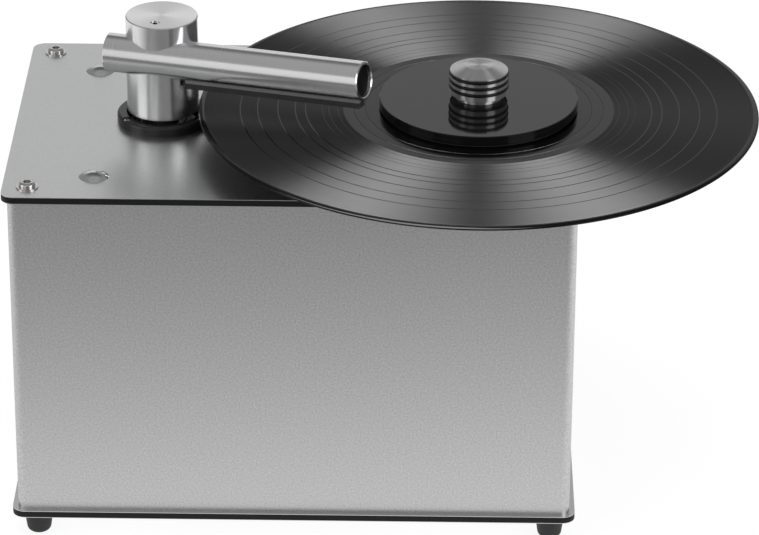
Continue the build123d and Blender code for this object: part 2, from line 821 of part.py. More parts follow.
# ================================================================ gears
# Two 3 to 1 reductions share one pair of axes: the motor's pinion drives the idler's wheel
# on the lower level, and the idler's pinion drives the spindle's wheel on the upper one.
pressure_angle = radians(20)
level_1_z = housing_bottom + gearbox_wall + gear_floor_gap
level_2_z = level_1_z + gear_face + gear_level_gap
idler_pin_r = 2.0
motor_shaft_r = 2.0
shaft_fit = 0.02


def involute(angle):
    """The involute function of an angle in radians."""
    return tan(angle) - angle


def tooth_points(teeth):
    """One tooth pointing along +X, from its root on one side round to its root on the other."""
    pitch_r = gear_module * teeth / 2
    base_r = pitch_r * cos(pressure_angle)
    root_r = pitch_r - gear_module * gear_dedendum
    tip_r = pitch_r + gear_module * gear_addendum
    half = (pi * gear_module / 2 - gear_backlash) / 2 / pitch_r
    low_r = max(base_r, root_r)
    flank = [root_r * 0.98, low_r, (low_r + pitch_r) / 2, pitch_r, (pitch_r + tip_r) / 2, tip_r]
    points = []
    for r in flank:
        roll = acos(min(1.0, base_r / r))
        spread = half + involute(pressure_angle) - involute(roll)
        points.append((r * cos(spread), -r * sin(spread)))
    return points + [(x, -y) for x, y in reversed(points)]


def gear(x, y, z, face, teeth, phase, bore_r):
    """A spur gear on z with its first tooth turned to the angle phase."""
    root_r = gear_module * (teeth / 2 - gear_dedendum)
    with BuildPart() as wheel:
        with BuildSketch(Plane.XY.offset(z)):
            with Locations((x, y)):
                Circle(root_r)
                with PolarLocations(0, teeth, start_angle=phase):
                    Polygon(*tooth_points(teeth), align=None)
                Circle(bore_r, mode=Mode.SUBTRACT)
        extrude(amount=face)
    return wheel.part


save(
    gear(
        spindle_x,
        spindle_y,
        level_2_z,
        gear_face,
        wheel_teeth,
        270 + 180 / wheel_teeth,
        spindle_shaft_r + shaft_fit,
    ),
    "output_gear",
)

idler_bore_r = idler_pin_r + bearing_clear
with BuildPart() as idler:
    add(
        gear(
            spindle_x, idler_y, level_1_z, gear_face, wheel_teeth, 90 + 180 / wheel_teeth, idler_bore_r
        )
    )
    add(
        gear(
            spindle_x,
            idler_y,
            level_1_z + gear_face,
            gear_level_gap + gear_face,
            pinion_teeth,
            90,
            idler_bore_r,
        )
    )
save(idler.part, "idler_gear")

# ================================================================ gearbox
spindle_bore_r = spindle_shaft_r + bearing_clear
cover_boss_drop = 3.0
pin_end_gap = 0.5
gear_rest_gap = 0.3


def gearbox_plate(z, thickness):
    """The outline that the cover and the housing's flange share, with its screw holes."""
    with BuildPart() as plate:
        with BuildSketch(Plane.XY.offset(z)):
            with Locations((spindle_x, gearbox_y)):
                RectangleRounded(
                    2 * (mount_dx + mount_edge), 2 * (mount_dy + mount_edge), mount_corner_r
                )
            with Locations(*mount_screws):
                Circle(m3_r + clear, mode=Mode.SUBTRACT)
        extrude(amount=thickness)
    return plate.part


with BuildPart() as gearbox_cover:
    add(gearbox_plate(cover_bottom, gearbox_cover_t))
    with BuildSketch(Plane.XY.offset(cover_bottom - cover_boss_drop)):
        with Locations((spindle_x, spindle_y)):
            Circle(boss_r)
    extrude(amount=deck_top - cover_bottom + cover_boss_drop)
    with BuildSketch(Plane.XY.offset(cover_bottom - cover_boss_drop)):
        with Locations((spindle_x, spindle_y)):
            Circle(spindle_bore_r)
    extrude(amount=deck_top - cover_bottom + cover_boss_drop, mode=Mode.SUBTRACT)
save(gearbox_cover.part, "gearbox_cover")

with BuildPart() as gearbox_housing:
    add(gearbox_plate(cover_bottom - gearbox_flange_t, gearbox_flange_t))
    with BuildSketch(Plane.XY.offset(housing_bottom)):
        with Locations((spindle_x, gearbox_y)):
            SlotCenterToCenter(gear_centres, 2 * gearbox_outer_r, rotation=90)
    extrude(amount=gearbox_depth)
    with BuildSketch(Plane.XY.offset(housing_bottom + gearbox_wall)):
        with Locations((spindle_x, gearbox_y)):
            SlotCenterToCenter(gear_centres, 2 * gearbox_cavity_r, rotation=90)
    extrude(amount=gearbox_depth - gearbox_wall, mode=Mode.SUBTRACT)
    with BuildSketch(Plane.XY.offset(housing_bottom)):
        with Locations((spindle_x, idler_y)):
            Circle(idler_pin_r)
    extrude(amount=gearbox_depth - pin_end_gap)
    with BuildSketch(Plane.XY.offset(housing_bottom)):
        with Locations((spindle_x, idler_y)):
            Circle(2 * idler_pin_r)
    extrude(amount=level_1_z - gear_rest_gap - housing_bottom)
    with BuildSketch(Plane.XY.offset(housing_bottom)):
        with Locations((spindle_x, spindle_y)):
            Circle(motor_shaft_r + bearing_clear)
    extrude(amount=gearbox_wall, mode=Mode.SUBTRACT)
save(gearbox_housing.part, "gearbox_housing")

mount_screw_length = panel_t + gearbox_cover_t + gearbox_flange_t + 2.0
save(
    Part(
        children=[
            screw(x, y, deck_top, m3_r, mount_screw_length, pan_head_r, pan_head_h, 2.0)
            for x, y in mount_screws
        ]
    ),
    "gearbox_screws",
)

# ================================================================ spindle motor
motor_r = 22.5
motor_h = 36.0
motor_wall = 1.2
stator_bore_r = 12.5
rotor_r = 12.0
stack_z = 6.5               # the stack's lower face above the can's lower face
stack_h = 22.0
thrust_r = 3.5
motor_z = housing_bottom - motor_h


def motor_can(x, y, z, r, height, wall, shaft_hole_r, stack_bore_r, stack_low, stack_height):
    """A closed can with a shaft hole in each end and its stator ring made fast inside."""
    with BuildPart() as can:
        with BuildSketch(Plane.XY.offset(z)):
            with Locations((x, y)):
                Circle(r)
        extrude(amount=height)
        with BuildSketch(Plane.XY.offset(z + wall)):
            with Locations((x, y)):
                Circle(r - wall)
        extrude(amount=height - 2 * wall, mode=Mode.SUBTRACT)
        with BuildSketch(Plane.XY.offset(z + stack_low)):
            with Locations((x, y)):
                Circle(r - wall / 2)
                Circle(stack_bore_r, mode=Mode.SUBTRACT)
        extrude(amount=stack_height)
        with BuildSketch(Plane.XY.offset(z)):
            with Locations((x, y)):
                Circle(shaft_hole_r)
        extrude(amount=height, mode=Mode.SUBTRACT)
    return can.part


save(
    motor_can(
        spindle_x,
        spindle_y,
        motor_z,
        motor_r,
        motor_h,
        motor_wall,
        motor_shaft_r + bearing_clear,
        stator_bore_r,
        stack_z,
        stack_h,
    ),
    "spindle_motor_can",
)

with BuildPart() as rotor:
    with BuildSketch(Plane.XY.offset(motor_z + gear_rest_gap)):
        with Locations((spindle_x, spindle_y)):
            Circle(motor_shaft_r)
    extrude(amount=level_1_z + gear_face - motor_z)
    with BuildSketch(Plane.XY.offset(motor_z + motor_wall + gear_rest_gap)):
        with Locations((spindle_x, spindle_y)):
            Circle(thrust_r)
    extrude(amount=motor_h - 2 * motor_wall - 2 * gear_rest_gap)
    with BuildSketch(Plane.XY.offset(motor_z + stack_z)):
        with Locations((spindle_x, spindle_y)):
            Circle(rotor_r)
    extrude(amount=stack_h)
    add(gear(spindle_x, spindle_y, level_1_z, gear_face, pinion_teeth, 270, motor_shaft_r / 2))
save(rotor.part, "spindle_motor_rotor")

# ================================================================ spindle, platter and record
record_z = deck_top + platter_gap + platter_t + mat_t
record_top = record_z + record_t
shoulder_r = 8.0
shoulder_gap = 0.2
centring_r = 3.55
thread_r = 3.0
thread_top = record_top + 20.0
gear_end_gap = 0.7
spindle_bottom = level_2_z - gear_end_gap
with BuildPart() as spindle:
    with BuildSketch(Plane.XZ.offset(-spindle_y)):
        with BuildLine():
            Polyline(
                (spindle_x, spindle_bottom),
                (spindle_x + spindle_shaft_r, spindle_bottom),
                (spindle_x + spindle_shaft_r, deck_top + shoulder_gap),
                (spindle_x + shoulder_r, deck_top + shoulder_gap),
                (spindle_x + shoulder_r, deck_top + platter_gap),
                (spindle_x + spindle_shaft_r, deck_top + platter_gap),
                (spindle_x + spindle_shaft_r, record_z - mat_t),
                (spindle_x + centring_r, record_z - mat_t),
                (spindle_x + centring_r, record_top),
                (spindle_x + thread_r, record_top),
                (spindle_x + thread_r, thread_top),
                (spindle_x, thread_top),
                close=True,
            )
        make_face()
    revolve(axis=Axis((spindle_x, spindle_y, 0), (0, 0, 1)))
    chamfer(spindle.edges().group_by(Axis.Z)[-1], 0.6)
save(spindle.part, "spindle")

platter_rim = 5.0
platter_hub_r = 14.0
platter_web = 4.0
with BuildPart() as platter:
    with BuildSketch(Plane.XY.offset(deck_top + platter_gap)):
        with Locations((spindle_x, spindle_y)):
            Circle(platter_r)
    extrude(amount=platter_t)
    chamfer(platter.edges(), 0.5)
    with BuildSketch(Plane.XY.offset(deck_top + platter_gap)):
        with Locations((spindle_x, spindle_y)):
            Circle(platter_r - platter_rim)
            Circle(platter_hub_r, mode=Mode.SUBTRACT)
    extrude(amount=platter_t - platter_web, mode=Mode.SUBTRACT)
    with BuildSketch(Plane.XY.offset(deck_top + platter_gap)):
        with Locations((spindle_x, spindle_y)):
            Circle(spindle_shaft_r + shaft_fit)
    extrude(amount=platter_t, mode=Mode.SUBTRACT)
save(platter.part, "platter")

with BuildPart() as mat:
    with BuildSketch(Plane.XY.offset(record_z - mat_t)):
        with Locations((spindle_x, spindle_y)):
            Circle(mat_r)
            Circle(spindle_shaft_r, mode=Mode.SUBTRACT)
    extrude(amount=mat_t)
save(mat.part, "platter_mat")

# The record is thickest at its label and its rim bead, and its grooves lie a little lower.
label_r = 50.0
groove_inner_r = 72.9
rim_bead_r = record_r - 2.5
groove_outer_r = rim_bead_r - 2.6
groove_sink = 0.3
rim_flat = 0.4
record_mid = record_z + record_t / 2


def record_side(side):
    """Half of the record's section, from its hole out to its rim; side is +1 or -1."""
    face = record_mid + side * record_t / 2
    low = face - side * groove_sink
    return [
        (spindle_x + record_hole_r, face),
        (spindle_x + label_r, face),
        (spindle_x + groove_inner_r, low),
        (spindle_x + groove_outer_r, low),
        (spindle_x + rim_bead_r, face),
        (spindle_x + record_r, record_mid + side * rim_flat),
    ]


with BuildPart() as record:
    with BuildSketch(Plane.XZ.offset(-spindle_y)):
        with BuildLine():
            Polyline(*record_side(1), *reversed(record_side(-1)), close=True)
        make_face()
    revolve(axis=Axis((spindle_x, spindle_y, 0), (0, 0, 1)))
save(record.part, "record")

# ================================================================ clamp and its knob
seal_inner_r = 30.0
seal_outer_r = clamp_r - 1.5
hub_r = 6.0
hub_clear = 0.1
hub_gap = 0.3
knob_gap = 0.1
groove_half_w = 1.0
ring_proud = 0.7
knob_cap_t = 2.3
clamp_z = record_top + seal_t
knob_z = clamp_z + clamp_t
with BuildPart() as clamp_seal:
    with BuildSketch(Plane.XY.offset(record_top)):
        with Locations((spindle_x, spindle_y)):
            Circle(seal_outer_r)
            Circle(seal_inner_r, mode=Mode.SUBTRACT)
    extrude(amount=seal_t)
save(clamp_seal.part, "clamp_seal")

with BuildPart() as clamp_disc:
    with BuildSketch(Plane.XY.offset(clamp_z)):
        with Locations((spindle_x, spindle_y)):
            Circle(clamp_r)
    extrude(amount=clamp_t)
    chamfer(clamp_disc.edges(), 0.4)
    with BuildSketch(Plane.XY.offset(clamp_z)):
        with Locations((spindle_x, spindle_y)):
            Circle(hub_r + hub_clear)
    extrude(amount=clamp_t, mode=Mode.SUBTRACT)
save(clamp_disc.part, "clamp_disc")

ring_r = knob_r + ring_proud - ring_cord_r
groove_r = ring_r - ring_cord_r - 0.05
with BuildPart() as knob:
    with BuildSketch(Plane.XZ.offset(-spindle_y)):
        with BuildLine():
            Polyline(
                (spindle_x, clamp_z + hub_gap),
                (spindle_x + hub_r, clamp_z + hub_gap),
                (spindle_x + hub_r, knob_z + knob_gap),
                (spindle_x + knob_neck_r, knob_z + knob_gap),
                (spindle_x + knob_neck_r, knob_z + knob_neck_h),
                (spindle_x + knob_r, knob_z + knob_neck_h),
                (spindle_x + knob_r, knob_z + knob_side_h),
                (spindle_x + knob_flat_r, knob_z + knob_h),
                (spindle_x, knob_z + knob_h),
                close=True,
            )
        make_face()
        with Locations(*[(spindle_x + (groove_r + knob_r) / 2, knob_z + h) for h in ring_heights]):
            Rectangle(knob_r - groove_r, 2 * groove_half_w, mode=Mode.SUBTRACT)
    revolve(axis=Axis((spindle_x, spindle_y, 0), (0, 0, 1)))
    with BuildSketch(Plane.XY.offset(clamp_z + hub_gap)):
        with Locations((spindle_x, spindle_y)):
            Circle(thread_r + bearing_clear)
    extrude(amount=knob_z + knob_h - knob_cap_t - clamp_z - hub_gap, mode=Mode.SUBTRACT)
save(knob.part, "clamp_knob")

with BuildPart() as rings:
    with BuildSketch(Plane.XZ.offset(-spindle_y)):
        with Locations(*[(spindle_x + ring_r, knob_z + h) for h in ring_heights]):
            Circle(ring_cord_r)
    revolve(axis=Axis((spindle_x, spindle_y, 0), (0, 0, 1)))
save(rings.part, "knob_o_rings")

# ================================================================ suction fan
# A bypass fan: its motor hangs under the scroll, which stands on three posts and blows out
# through the rear panel. The hose brings the air from the waste tank.
fan_post_h = 50.0
fan_wall = 2.5
fan_h = 30.0
fan_cover_t = 3.0
fan_lip_h = 2.0
fan_motor_r = 32.0
fan_motor_h = 44.5
fan_motor_wall = 2.0
fan_shaft_r = 3.0
fan_stack_z = 8.0
fan_stack_h = 26.0
fan_stack_bore_r = 20.0
armature_r = 19.5
impeller_r = 44.0
impeller_hub_r = 8.0
impeller_eye_r = 16.0
impeller_disc_t = 2.0
impeller_blade_h = 16.0
impeller_blade_t = 1.2
impeller_blades = 8
fan_floor_gap = 3.0
post_circle_r = 42.0
fan_post_r = 5.0
fan_z = base_top + fan_post_h
fan_top = fan_z + fan_h
fan_motor_z = fan_z - fan_motor_h
with BuildPart() as fan_posts:
    with BuildSketch(Plane.XY.offset(base_top)):
        with Locations((fan_x, fan_y)):
            with PolarLocations(post_circle_r, 3, start_angle=90):
                Circle(fan_post_r)
    extrude(amount=fan_post_h)
save(fan_posts.part, "fan_posts")

with BuildPart() as fan_housing:
    with BuildSketch(Plane.XY.offset(fan_z)):
        with Locations((fan_x, fan_y)):
            Circle(fan_r)
    extrude(amount=fan_h)
    with BuildSketch(Plane.XZ.offset(-rear_inner)):
        with Locations((exhaust_x, exhaust_z)):
            Rectangle(exhaust_w, exhaust_h)
    extrude(amount=rear_inner - fan_y - fan_r / 2)
    with BuildSketch(Plane.XY.offset(fan_z + fan_wall)):
        with Locations((fan_x, fan_y)):
            Circle(fan_r - fan_wall)
    extrude(amount=fan_h - fan_wall, mode=Mode.SUBTRACT)
    with BuildSketch(Plane.XZ.offset(-rear_inner)):
        with Locations((exhaust_x, exhaust_z)):
            Rectangle(exhaust_w - 2 * duct_wall, exhaust_h - 2 * duct_wall)
    extrude(amount=rear_inner - fan_y - fan_r / 2, mode=Mode.SUBTRACT)
    with BuildSketch(Plane.XY.offset(fan_z)):
        with Locations((fan_x, fan_y)):
            Circle(fan_shaft_r + bearing_clear)
    extrude(amount=fan_wall, mode=Mode.SUBTRACT)
save(fan_housing.part, "fan_housing")

with BuildPart() as fan_cover:
    with BuildSketch(Plane.XY.offset(fan_top)):
        with Locations((fan_x, fan_y)):
            Circle(fan_r)
    extrude(amount=fan_cover_t)
    with BuildSketch(Plane.XY.offset(fan_top - fan_lip_h)):
        with Locations((fan_x, fan_y)):
            Circle(fan_r - fan_wall - clear)
            Circle(fan_r - 2 * fan_wall - clear, mode=Mode.SUBTRACT)
    extrude(amount=fan_lip_h)
    with BuildSketch(Plane.XY.offset(fan_top)):
        with Locations((fan_x, fan_y)):
            Circle(hose_spigot_r)
    extrude(amount=fan_cover_t + hose_spigot_h)
    with BuildSketch(Plane.XY.offset(fan_top)):
        with Locations((fan_x, fan_y)):
            Circle(hose_spigot_bore_r)
    extrude(amount=fan_cover_t + hose_spigot_h, mode=Mode.SUBTRACT)
save(fan_cover.part, "fan_cover")

save(
    motor_can(
        fan_x,
        fan_y,
        fan_motor_z,
        fan_motor_r,
        fan_motor_h,
        fan_motor_wall,
        fan_shaft_r + bearing_clear,
        fan_stack_bore_r,
        fan_stack_z,
        fan_stack_h,
    ),
    "fan_motor_can",
)

impeller_z = fan_z + fan_wall + fan_floor_gap
impeller_h = impeller_disc_t + impeller_blade_h
with BuildPart() as armature:
    with BuildSketch(Plane.XY.offset(fan_motor_z + gear_rest_gap)):
        with Locations((fan_x, fan_y)):
            Circle(fan_shaft_r)
    extrude(amount=impeller_z + impeller_h - fan_motor_z)
    with BuildSketch(Plane.XY.offset(fan_motor_z + fan_motor_wall + gear_rest_gap)):
        with Locations((fan_x, fan_y)):
            Circle(2 * fan_shaft_r)
    extrude(amount=fan_motor_h - 2 * fan_motor_wall - 2 * gear_rest_gap)
    with BuildSketch(Plane.XY.offset(fan_motor_z + fan_stack_z)):
        with Locations((fan_x, fan_y)):
            Circle(armature_r)
    extrude(amount=fan_stack_h)
save(armature.part, "fan_armature")

blade_length = impeller_r - impeller_eye_r
blade_lean = 35.0
with BuildPart() as impeller:
    with BuildSketch(Plane.XY.offset(impeller_z)):
        with Locations((fan_x, fan_y)):
            Circle(impeller_r)
    extrude(amount=impeller_disc_t)
    with BuildSketch(Plane.XY.offset(impeller_z)):
        with Locations((fan_x, fan_y)):
            Circle(impeller_hub_r)
    extrude(amount=impeller_h)
    with BuildSketch(Plane.XY.offset(impeller_z + impeller_disc_t)):
        with Locations((fan_x, fan_y)):
            with PolarLocations(impeller_eye_r, impeller_blades):
                Rectangle(
                    blade_length,
                    impeller_blade_t,
                    rotation=blade_lean,
                    align=(Align.MIN, Align.CENTER),
                )
    extrude(amount=impeller_blade_h)
    with BuildSketch(Plane.XY.offset(impeller_z)):
        with Locations((fan_x, fan_y)):
            Circle(fan_shaft_r + shaft_fit)
    extrude(amount=impeller_h, mode=Mode.SUBTRACT)
save(impeller.part, "fan_impeller")

# The grille is pegged over the exhaust hole on the rear panel's outer face.
grille_w = 60.0
grille_h = 32.0
grille_t = 2.5
grille_bars = 6
grille_slot_h = 2.0
grille_pitch = 3.4
with BuildPart() as grille:
    with BuildSketch(Plane.XZ.offset(-rear_outer)):
        with Locations((exhaust_x, exhaust_z)):
            RectangleRounded(grille_w, grille_h, 3.0)
            with GridLocations(0, grille_pitch, 1, grille_bars - 1):
                SlotOverall(exhaust_w - 2 * duct_wall, grille_slot_h, mode=Mode.SUBTRACT)
    extrude(amount=-grille_t)
    with BuildSketch(Plane.XZ.offset(-rear_outer)):
        with Locations(*pegs):
            Circle(peg_r)
    extrude(amount=wrap_t + 2.0)
save(grille.part, "exhaust_grille")

# ================================================================ suction hose
hose_r = 13.0
hose_fit = 0.1
hose_bend_r = 30.0
hose_top = base_top + 161.5
hose_gap = 0.5
tank_end = lid_top + hose_gap
fan_end = fan_top + fan_cover_t + hose_gap
with BuildPart() as hose:
    with BuildLine() as hose_path:
        FilletPolyline(
            (air_x, air_y, tank_end),
            (air_x, air_y, hose_top),
            (fan_x, fan_y, hose_top),
            (fan_x, fan_y, fan_end),
            radius=hose_bend_r,
        )
    with BuildSketch(Plane(origin=(air_x, air_y, tank_end), z_dir=(0, 0, 1))):
        Circle(hose_r)
        Circle(hose_spigot_r + hose_fit, mode=Mode.SUBTRACT)
    sweep(path=hose_path.line)
save(hose.part, "suction_hose")

# ================================================================ mains inlet
# A snap-in inlet with three flat pins above a small fuse drawer that pulls out backwards.
inlet_edge = 3.0
inlet_flange_t = 2.0
inlet_depth = 26.0
socket_w = 24.4
socket_high = 16.4
socket_deep = 20.0
socket_rise = 6.0
pin_w = 2.0
pin_h = 4.0
pin_length = 14.0
pin_pitch = 7.0
pin_tab = 8.0
earth_rise = 2.0
pin_fit = 0.05
fuse_w = 22.0
fuse_h = 8.0
fuse_deep = 20.0
fuse_drop = 10.5
fuse_clear = 0.2
inlet_face = rear_outer + inlet_flange_t
socket_z = inlet_z + socket_rise
fuse_z = inlet_z - fuse_drop
pin_places = [
    (inlet_x - pin_pitch, socket_z - earth_rise),
    (inlet_x + pin_pitch, socket_z - earth_rise),
    (inlet_x, socket_z + earth_rise),
]
with BuildPart() as inlet:
    with BuildSketch(Plane.XZ.offset(-inlet_face)):
        with Locations((inlet_x, inlet_z)):
            RectangleRounded(inlet_body_w + 2 * inlet_edge, inlet_body_h + 2 * inlet_edge, 2.0)
    extrude(amount=inlet_flange_t)
    with BuildSketch(Plane.XZ.offset(-rear_outer)):
        with Locations((inlet_x, inlet_z)):
            Rectangle(inlet_body_w, inlet_body_h)
    extrude(amount=inlet_depth)
    with BuildSketch(Plane.XZ.offset(-inlet_face)):
        with Locations((inlet_x, socket_z)):
            Rectangle(socket_w, socket_high)
    extrude(amount=socket_deep, mode=Mode.SUBTRACT)
    with BuildSketch(Plane.XZ.offset(-inlet_face)):
        with Locations((inlet_x, fuse_z)):
            Rectangle(fuse_w, fuse_h)
    extrude(amount=fuse_deep, mode=Mode.SUBTRACT)
    with BuildSketch(Plane.XZ.offset(-inlet_face)):
        with Locations(*pin_places):
            Rectangle(pin_w + 2 * pin_fit, pin_h + 2 * pin_fit)
    extrude(amount=inlet_flange_t + inlet_depth, mode=Mode.SUBTRACT)
save(inlet.part, "inlet_body")

with BuildPart() as pins:
    with BuildSketch(Plane.XZ.offset(socket_deep - pin_length - inlet_face)):
        with Locations(*pin_places):
            Rectangle(pin_w, pin_h)
    extrude(amount=pin_length + inlet_flange_t + inlet_depth - socket_deep + pin_tab)
save(pins.part, "inlet_pins")

with BuildPart() as fuse_drawer:
    with BuildSketch(Plane.XZ.offset(-inlet_face)):
        with Locations((inlet_x, fuse_z)):
            Rectangle(fuse_w - 2 * fuse_clear, fuse_h - 2 * fuse_clear)
    extrude(amount=fuse_deep - fuse_clear)
    with BuildSketch(Plane.XY.offset(fuse_z - fuse_h)):
        with Locations((inlet_x, inlet_face)):
            Rectangle(fuse_w / 3, 3.0)
    extrude(amount=fuse_h, mode=Mode.SUBTRACT)
save(fuse_drawer.part, "fuse_drawer")

# ================================================================ rocker switches
# Each rocker tips on two side trunnions. The vacuum switch rests tipped to off, and the
# platter's direction switch rests level, at stop.
rocker_w = 10.6
rocker_half_h = 8.0
rocker_pivot_depth = 3.0
rocker_dish = 1.2
rocker_proud = 0.2
rocker_side_clear = 0.15
rocker_end_clear = 0.2
rocker_shoulder = 1.0
rocker_keel = 4.5
rocker_keel_half = 3.0
rocker_tilt = 10.0
trunnion_r = 1.2
trunnion_l = 0.75
keel_room = 1.4
rocker_face_x = wrap_left - bezel_t - rocker_proud
pivot_x = rocker_face_x + rocker_pivot_depth
rocker_end_r = hypot(rocker_pivot_depth, rocker_half_h)
shoulder_z = sqrt(rocker_end_r**2 - rocker_shoulder**2)
trunnion_reach = rocker_w / 2 + trunnion_l
with BuildPart() as switches:
    with BuildSketch(Plane.YZ.offset(wrap_left)):
        with Locations(*[(y, switch_z) for y in switch_ys]):
            RectangleRounded(bezel_w, bezel_h, 1.0)
    extrude(amount=-bezel_t)
    with BuildSketch(Plane.YZ.offset(wrap_left)):
        with Locations(*[(y, switch_z) for y in switch_ys]):
            Rectangle(switch_body_w, switch_body_h)
    extrude(amount=switch_body_d)
    with BuildSketch(Plane.YZ.offset(wrap_left - bezel_t)):
        with Locations(*[(y, switch_z) for y in switch_ys]):
            Rectangle(rocker_w + 2 * rocker_side_clear, 2 * (rocker_end_r + rocker_end_clear))
    extrude(amount=pivot_x + rocker_keel + keel_room - wrap_left + bezel_t, mode=Mode.SUBTRACT)
    for y in switch_ys:
        with BuildSketch(Plane.XZ.offset(-y)):
            with Locations((pivot_x, switch_z)):
                Circle(trunnion_r + bearing_clear)
        extrude(amount=trunnion_reach + bearing_clear, both=True, mode=Mode.SUBTRACT)
save(switches.part, "switch_housings")


def rocker(y, tilt):
    """A dished rocker on its trunnions; a positive tilt pushes its lower end in."""
    with BuildPart() as piece:
        with BuildSketch(Plane.XZ.offset(rocker_w / 2 - y)):
            with BuildLine():
                Polyline(
                    (pivot_x - rocker_pivot_depth, switch_z - rocker_half_h),
                    (pivot_x - rocker_pivot_depth + rocker_dish, switch_z),
                    (pivot_x - rocker_pivot_depth, switch_z + rocker_half_h),
                )
                RadiusArc(
                    (pivot_x - rocker_pivot_depth, switch_z + rocker_half_h),
                    (pivot_x + rocker_shoulder, switch_z + shoulder_z),
                    rocker_end_r,
                )
                Polyline(
                    (pivot_x + rocker_shoulder, switch_z + shoulder_z),
                    (pivot_x + rocker_keel, switch_z + rocker_keel_half),
                    (pivot_x + rocker_keel, switch_z - rocker_keel_half),
                    (pivot_x + rocker_shoulder, switch_z - shoulder_z),
                )
                RadiusArc(
                    (pivot_x + rocker_shoulder, switch_z - shoulder_z),
                    (pivot_x - rocker_pivot_depth, switch_z - rocker_half_h),
                    rocker_end_r,
                )
            make_face()
        extrude(amount=-rocker_w)
        with BuildSketch(Plane.XZ.offset(-y)):
            with Locations((pivot_x, switch_z)):
                Circle(trunnion_r)
        extrude(amount=trunnion_reach, both=True)
    return piece.part.rotate(Axis((pivot_x, y, switch_z), (0, 1, 0)), -tilt)


save(rocker(switch_ys[0], rocker_tilt), "vacuum_rocker")
save(rocker(switch_ys[1], 0.0), "direction_rocker")

# ================================================================ wiring
# Three sheathed cables: inlet to vacuum switch, that switch to the fan's motor, and the
# direction switch to the platter's motor.
cable_r = 2.5
cable_bend_r = 10.0
cable_gap = 0.3
switch_back = wrap_left + switch_body_d + cable_gap
inlet_back = rear_outer - inlet_depth - cable_gap
supply_x = inlet_x
supply_y = front_y + 53.0
supply_z = lid_top + 10.5
supply_turn_x = wrap_left + 57.0
vacuum_high_z = switch_z + 4.5
vacuum_low_z = switch_z - 4.5
fan_cable_z = fan_motor_z + 22.0
drive_turn_x = fan_x + 10.0


def cable(*points):
    """A round cable along straight runs joined by arcs."""
    with BuildPart() as piece:
        with BuildLine() as path:
            FilletPolyline(*points, radius=cable_bend_r)
        with BuildSketch(Plane(origin=path.line @ 0, z_dir=path.line % 0)):
            Circle(cable_r)
        sweep(path=path.line)
    return piece.part


supply_cable = cable(
    (supply_x, inlet_back, fuse_z),
    (supply_x, supply_y, fuse_z),
    (supply_x, supply_y, supply_z),
    (supply_turn_x, supply_y, supply_z),
    (supply_turn_x, switch_ys[0], vacuum_high_z),
    (switch_back, switch_ys[0], vacuum_high_z),
)
fan_cable = cable(
    (switch_back, switch_ys[0], vacuum_low_z),
    (fan_x, switch_ys[0], vacuum_low_z),
    (fan_x, switch_ys[0], fan_cable_z),
    (fan_x, fan_y - fan_motor_r - cable_gap, fan_cable_z),
)
drive_cable = cable(
    (switch_back, switch_ys[1], switch_z),
    (drive_turn_x, switch_ys[1], switch_z),
    (drive_turn_x, spindle_y, switch_z),
    (spindle_x - motor_r - cable_gap, spindle_y, switch_z),
)
save(Part(children=[supply_cable, fan_cable, drive_cable]), "wiring")
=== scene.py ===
from math import cos, pi, radians, sin, tan
import random

import bmesh
import bpy
from mathutils import Matrix, Vector


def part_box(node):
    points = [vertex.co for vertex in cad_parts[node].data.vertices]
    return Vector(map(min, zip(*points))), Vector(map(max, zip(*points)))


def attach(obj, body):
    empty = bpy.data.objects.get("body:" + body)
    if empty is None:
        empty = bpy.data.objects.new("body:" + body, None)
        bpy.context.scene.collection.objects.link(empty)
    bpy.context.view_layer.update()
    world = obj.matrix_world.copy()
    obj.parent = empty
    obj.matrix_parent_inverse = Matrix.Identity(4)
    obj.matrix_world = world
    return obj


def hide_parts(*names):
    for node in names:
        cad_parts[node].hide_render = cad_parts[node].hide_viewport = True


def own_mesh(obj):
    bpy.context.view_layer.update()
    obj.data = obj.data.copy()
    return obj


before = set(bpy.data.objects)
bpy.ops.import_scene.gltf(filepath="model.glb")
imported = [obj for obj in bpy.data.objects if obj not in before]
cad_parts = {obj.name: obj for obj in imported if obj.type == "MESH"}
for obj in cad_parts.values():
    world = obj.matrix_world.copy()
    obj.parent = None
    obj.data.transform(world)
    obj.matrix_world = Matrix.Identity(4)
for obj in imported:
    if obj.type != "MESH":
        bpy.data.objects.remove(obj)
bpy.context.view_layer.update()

# ------------------------------------------------------------------ camera
# A long lens looks down on the machine from the front, a little right of its middle. It is
# turned and tilted aside by about half a degree.
lens_mm = 191.05
sensor_mm = 36.0
far_limit = 30.0
view_point = Vector((0.0182, -1.9805, 1.1069))
look_down = radians(26.37)
look_aside = radians(-0.61)
head_tilt = radians(-0.36)
ahead = Vector((sin(look_aside) * cos(look_down), cos(look_aside) * cos(look_down), -sin(look_down)))
level = Vector((cos(look_aside), -sin(look_aside), 0))
right_hand = cos(head_tilt) * level + sin(head_tilt) * ahead.cross(level)
camera = bpy.data.objects.new("camera", bpy.data.cameras.new("camera"))
camera.data.sensor_width = sensor_mm
camera.data.lens = lens_mm
camera.data.clip_end = far_limit
bpy.context.scene.collection.objects.link(camera)
camera.matrix_world = Matrix.Translation(view_point) @ Matrix(
    (right_hand, right_hand.cross(ahead), -ahead)
).transposed().to_4x4()
bpy.context.scene.camera = camera
bpy.context.scene.view_settings.view_transform = "Standard"


# ------------------------------------------------------------------ room
# A white studio with soft lamps overhead, at the left and at the right. Polished metal
# mirrors a grey room in it, dark high behind the machine and bright low behind it.
def put(tree, kind, wires=(), **settings):
    """Adds a shader node; wires gives its inputs by name or number, as values or sockets."""
    made = tree.nodes.new(kind)
    for key, value in settings.items():
        setattr(made, key, value)
    for key, value in dict(wires).items():
        if isinstance(value, bpy.types.NodeSocket):
            tree.links.new(value, made.inputs[key])
        else:
            made.inputs[key].default_value = value
    return made


